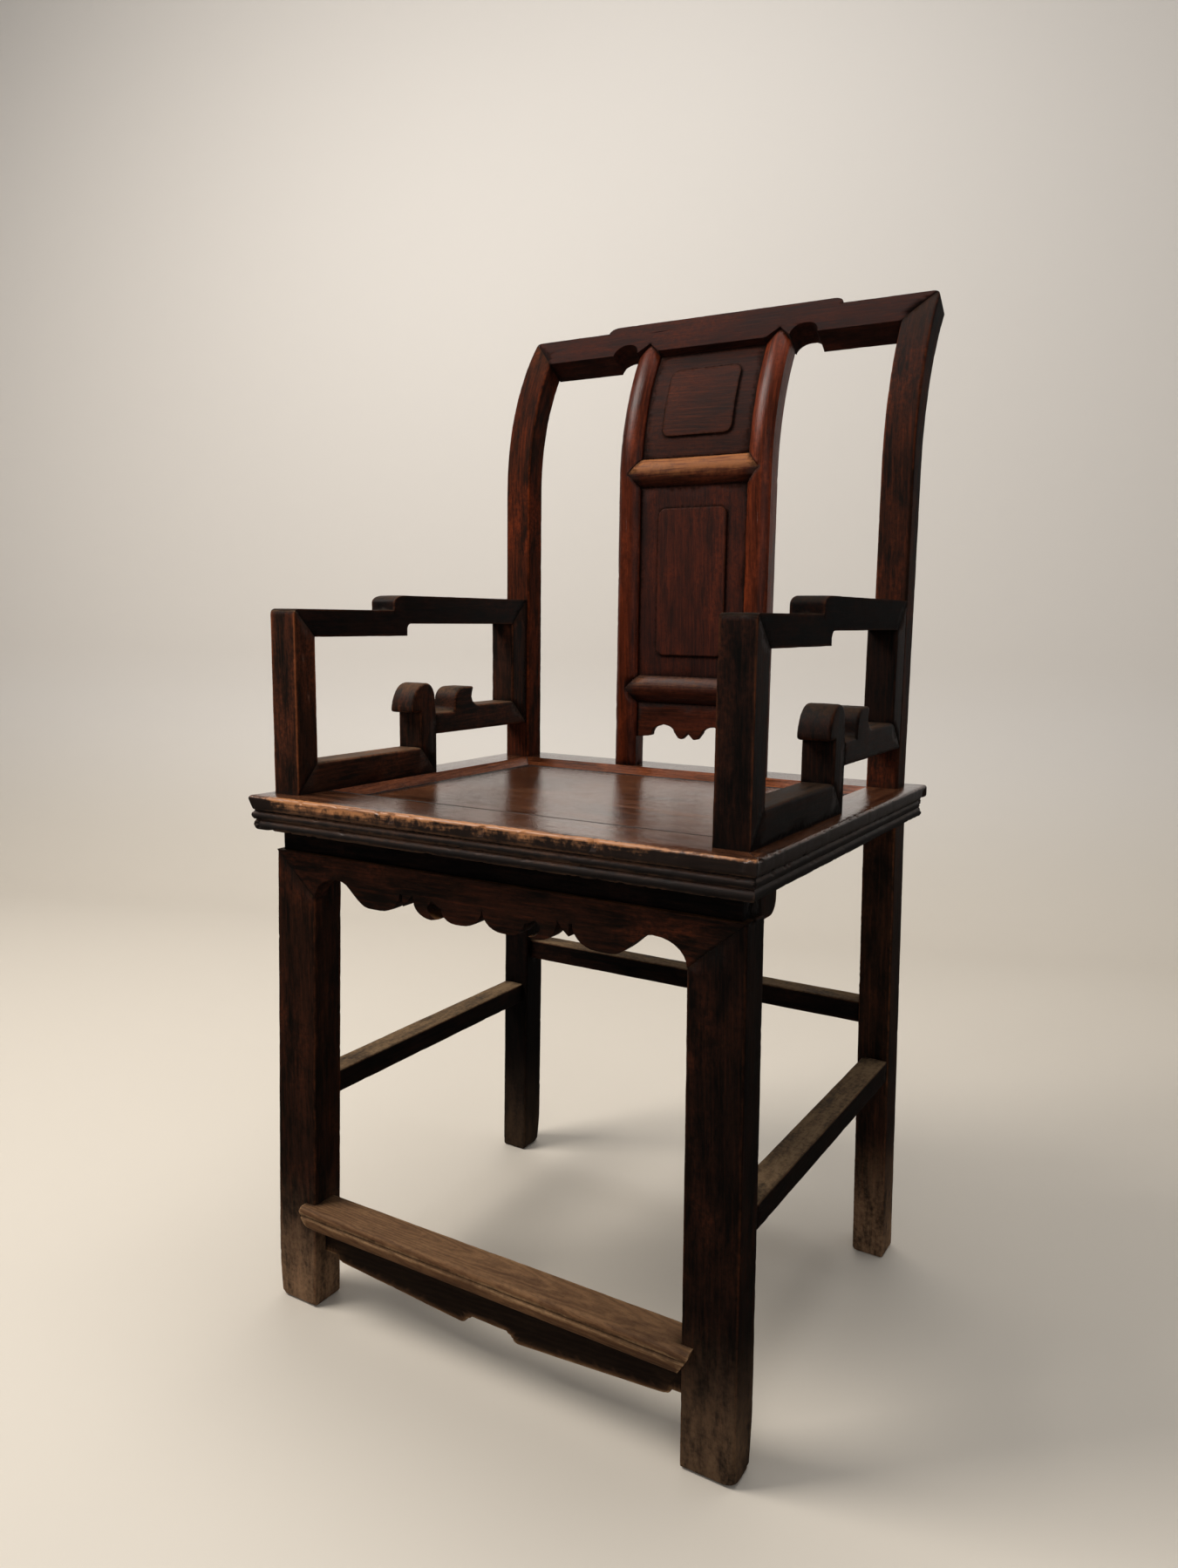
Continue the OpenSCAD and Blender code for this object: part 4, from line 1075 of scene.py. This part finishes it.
place = make(rail_tree, "GeometryNodeInputPosition").outputs[0]
share, inward, level_up = make(rail_tree, "ShaderNodeSeparateXYZ", place).outputs
mitre = make(rail_tree, "ShaderNodeMix", maths(rail_tree, "ADD", share, 0.5), None, given["Mitre Start"],
             given["Mitre End"], data_type="FLOAT").outputs[0]
cut_off = maths(rail_tree, "MULTIPLY", maths(rail_tree, "MULTIPLY", mitre, inward), 2.0)
along = maths(rail_tree, "MULTIPLY", share, maths(rail_tree, "SUBTRACT", given["Length"], cut_off))
moved = make(rail_tree, "ShaderNodeCombineXYZ", along, inward, level_up).outputs[0]
shaped = make(rail_tree, "GeometryNodeSetPosition", swept, None, moved).outputs[0]
turned = make(rail_tree, "ShaderNodeCombineXYZ", 0.0, 0.0, given["Turn"]).outputs[0]
placed = make(rail_tree, "GeometryNodeTransform", shaped, given["Shift"], turned).outputs[0]
close_tree(rail_tree, placed, given)
print(len(rail_tree.nodes), "nodes in the rail tree")

# %% [markdown]
# ## Four rails from one tree
# The four rails differ in width, so their mitres differ too: the front and back rails
# are wider than the sides, and the joint runs from the outer corner to the corner of
# the sunk panel.

# %% Four rails
LENGTH_STEP = 0.003
RAILS = {
    # length, own width and slope, those of the neighbours at its two ends, turn, middle of the outer edge
    "seat_rail_front": (2 * HALF_W, FRONT_RAIL, SIDE_RAIL, SIDE_RAIL, 0.0, (0.0, -HALF_D - MID_Y)),
    "seat_rail_back": (2 * HALF_W, BACK_RAIL, SIDE_RAIL, SIDE_RAIL, math.pi, (0.0, HALF_D - MID_Y)),
    "seat_rail_right": (2 * HALF_D, SIDE_RAIL, FRONT_RAIL, BACK_RAIL, math.pi / 2, (HALF_W, -MID_Y)),
    "seat_rail_left": (2 * HALF_D, SIDE_RAIL, BACK_RAIL, FRONT_RAIL, -math.pi / 2, (-HALF_W, -MID_Y)),
}
rail_meshes = {}
for name, (length, own, start, end, turn, (x, y)) in RAILS.items():
    outline = section_curve(name + "_section", edge_section(*own))
    bm = grown(name, rail_tree, {
        "Length": length, "Mitre Start": sum(start) / sum(own), "Mitre End": sum(end) / sum(own),
        "Steps": int(length / LENGTH_STEP), "Turn": turn, "Shift": Vector((x, y, SEAT_TOP - SEAT_THICK)),
        "Section": outline, "Finish": finishes["seat_wood"]})
    bpy.data.objects.remove(outline)
    rail_meshes[name] = bm
    show_box(bm)

# %% [markdown]
# ## The bent posts
# A post is one bar: straight up from the seat, then round an arc that leans it back. On
# the real chair it is sawn from a thick plank along a template. Bending a straight mesh
# with a modifier would stretch its outer side. A second tree draws the path from three
# numbers and sweeps a rectangle with rounded corners along it.

# %% The bent bar tree
bar_tree, given = new_tree("bent bar", {
    "Straight": 0.3, "Radius": 0.3, "Sweep": 0.6, "Width": 0.034, "Depth": 0.03, "Arris": 0.003,
    "Steps": 120, "Foot": Vector((0, 0, 0))})
straight, radius = given["Straight"], given["Radius"]
line = make(bar_tree, "GeometryNodeCurvePrimitiveLine", (0.0, 0.0, 0.0), (0.0, 0.0, 1.0)).outputs[0]
line = make(bar_tree, "GeometryNodeResampleCurve", line, None, given["Steps"]).outputs[0]
share = make(bar_tree, "GeometryNodeSplineParameter").outputs["Factor"]
whole = maths(bar_tree, "MULTIPLY_ADD", radius, given["Sweep"], straight)
length = maths(bar_tree, "MULTIPLY", share, whole)
angle = maths(bar_tree, "DIVIDE", maths(bar_tree, "MAXIMUM", maths(bar_tree, "SUBTRACT", length, straight)),
              radius)
back = maths(bar_tree, "MULTIPLY", radius,
             maths(bar_tree, "SUBTRACT", 1.0, maths(bar_tree, "COSINE", angle)))
rise = maths(bar_tree, "MULTIPLY_ADD", radius, maths(bar_tree, "SINE", angle),
             maths(bar_tree, "MINIMUM", length, straight))
path = make(bar_tree, "ShaderNodeCombineXYZ", 0.0, back, rise).outputs[0]
path = make(bar_tree, "GeometryNodeSetPosition", line, None, path).outputs[0]
bar = make(bar_tree, "GeometryNodeCurvePrimitiveQuadrilateral", given["Width"], given["Depth"]).outputs[0]
bar = make(bar_tree, "GeometryNodeFilletCurve", bar, 4, given["Arris"], mode="POLY").outputs[0]
bar = make(bar_tree, "GeometryNodeSubdivideCurve", bar, 3).outputs[0]
swept = make(bar_tree, "GeometryNodeCurveToMesh", path, bar, None, True).outputs[0]
placed = make(bar_tree, "GeometryNodeTransform", swept, given["Foot"]).outputs[0]
close_tree(bar_tree, placed, given)
print(len(bar_tree.nodes), "nodes in the bar tree")

# %% [markdown]
# ## Cutting a post's head
# The post and the top rail meet in a mitre, and their outer corner is rounded. Both are
# cuts with a plane through the bent end, so the bar is grown a little too long and then
# sawn: once for the mitre, and six times round the corner.

# %% Cutting a post's head
slope_up = Vector((0.0, math.sin(MID_ANGLE), math.cos(MID_ANGLE)))
slope_out = Vector((0.0, math.cos(MID_ANGLE), -math.sin(MID_ANGLE)))
SUNK, OVERLONG, POST_ARRIS, CORNER = 0.0015, 0.05, 0.0032, 0.008


def tilted(x, t):
    """A point on the back's front face, t up the slope of the top rail."""
    return Vector((x, BEND_Y, BEND_Z)) + slope_up * t + slope_out * -BEND_R


def trim(bm, point, across, climb):
    """Cuts off what lies on the side of the plane that (across, climb) points to."""
    normal = Vector((across, 0, 0)) + slope_up * climb
    result = bmesh.ops.bisect_plane(bm, geom=bm.verts[:] + bm.edges[:] + bm.faces[:], plane_co=point,
                                    plane_no=normal, clear_outer=True)
    cut = [e for e in result["geom_cut"] if isinstance(e, bmesh.types.BMEdge)]
    bmesh.ops.edgeloop_fill(bm, edges=cut)


post_meshes = {}
for name, side in (("post_left", -1), ("post_right", 1)):
    bm = grown(name, bar_tree, {
        "Straight": BEND_Z - SEAT_TOP + SUNK, "Radius": BEND_R - POST_D / 2, "Sweep": TOP_ANGLE + OVERLONG,
        "Width": POST_W, "Depth": POST_D, "Arris": POST_ARRIS, "Steps": 130,
        "Foot": Vector((side * (LEG_X - POST_W / 2), POST_FRONT + POST_D / 2, SEAT_TOP - SUNK)),
        "Finish": finishes["frame_wood"]})
    # the mitre, from the inner corner up to the outer one
    trim(bm, tilted(side * LEG_X, RAIL_H / 2), -side * RAIL_H, POST_W)
    # the rounded outer corner
    heart = tilted(side * (LEG_X - CORNER), RAIL_H / 2 - CORNER)
    for a in (math.radians(t) for t in (8, 24, 40, 56, 72, 86)):
        way = Vector((side * math.cos(a), 0, 0)) + slope_up * math.sin(a)
        trim(bm, heart + way * CORNER, side * math.cos(a), math.sin(a))
    post_meshes[name] = bm
    show_box(bm)

# %% [markdown]
# ## All forty-two pieces
# The rest start from their solids, so their joints and carving are already right. How
# round an arris is follows the piece: the legs and arms are softest, the carved apron and
# the splat's panels stay crisper. One loop takes every piece through the same steps:
# sort its edges, round them, cut it finer, weather it and dress it.

# %% Making them
ROUND = {"leg": 0.0028, "arm": 0.0031, "post": 0.003, "top_rail": 0.0026, "stretcher": 0.0022,
         "footrest": 0.0016, "apron": 0.0011, "splat_skirt": 0.0008, "bracket": 0.0012, "panel": 0.0018,
         "splat_stile": 0.001, "cross_rail": 0.0008, "waist": 0.0008, "batten": 0.001, "seat_panel": 0.0005}
# the finest triangles, the slack of an arris, the depth of a nick, and how far wear reaches
HANDLING = {"seat rail": (0.003, 0.0004, 0.0018, 0.0105), "post": (0.006, 0.0003, 0.0006, 0.0055),
            "set in": (0.0045, 0.0, 0.0, 0.0055), "other": (0.0045, 0.0003, 0.0006, 0.0055)}
FINE_FOOT = 0.03


def rounding(name):
    """The radius of the arrises, by the longest key that is found in the name."""
    return max((len(k), r) for k, r in ROUND.items() if k in name)[1]


def on_outer_edge(p):
    """True close to the outside of the seat."""
    return abs(p.x) > HALF_W - 0.008 or abs(p.y + MID_Y) > HALF_D - 0.008


def soften(bm, loose, radius):
    """Bevels the open arrises, if there are any."""
    if loose:
        bmesh.ops.bevel(bm, geom=loose, offset=radius, offset_type="OFFSET", segments=3, profile=0.5,
                        affect="EDGES", clamp_overlap=True, loop_slide=True)


grown_meshes = {**rail_meshes, **post_meshes}
pieces = []
triangles = 0
for name in sorted(nodes):
    kind = ("seat rail" if name in rail_meshes else "post" if name in post_meshes
            else "set in" if name in SET_IN else "other")
    fine, slack, nick, worn_reach = HANDLING[kind]
    solid = solid_copy(name)
    loose, shut = sort_edges(solid, neighbours(name), 2 * GAP if kind == "set in" else GAP)
    if kind == "seat rail":
        # the golden rub is on the outer arris; the inner one is sheltered by the arms
        loose = [e for e in loose if any(on_outer_edge(v.co) for v in e.verts)]
    open_tree, joint_tree = scatter(loose), scatter(shut)
    foot_lines = corner_lines(solid) if name.startswith("leg") else []
    bm = grown_meshes.get(name, solid)
    if bm is solid:
        soften(bm, loose, rounding(name))
    else:
        solid.free()
    refine(bm, open_tree, fine, FINE_FOOT if foot_lines else 0.0)
    if foot_lines:
        round_foot(bm, foot_lines)
    weather(bm, open_tree, len(name), slack, nick)
    for v in bm.verts:
        v.co.z = max(0.0, v.co.z)
    if kind == "seat rail":
        chip(bm)
    pieces.append(dress(name, bm, open_tree, joint_tree, run_of.get(name, "z"), worn_reach))
    triangles += len(bm.faces)
    print(f"{name:20s} open {len(loose):4d} shut {len(shut):4d} triangles {len(bm.faces)}")
    bm.free()
for piece in pieces:
    settle(piece)
print(triangles, "triangles in all")
print(pieces[0].name, "carries", [a.name for a in pieces[0].data.attributes])
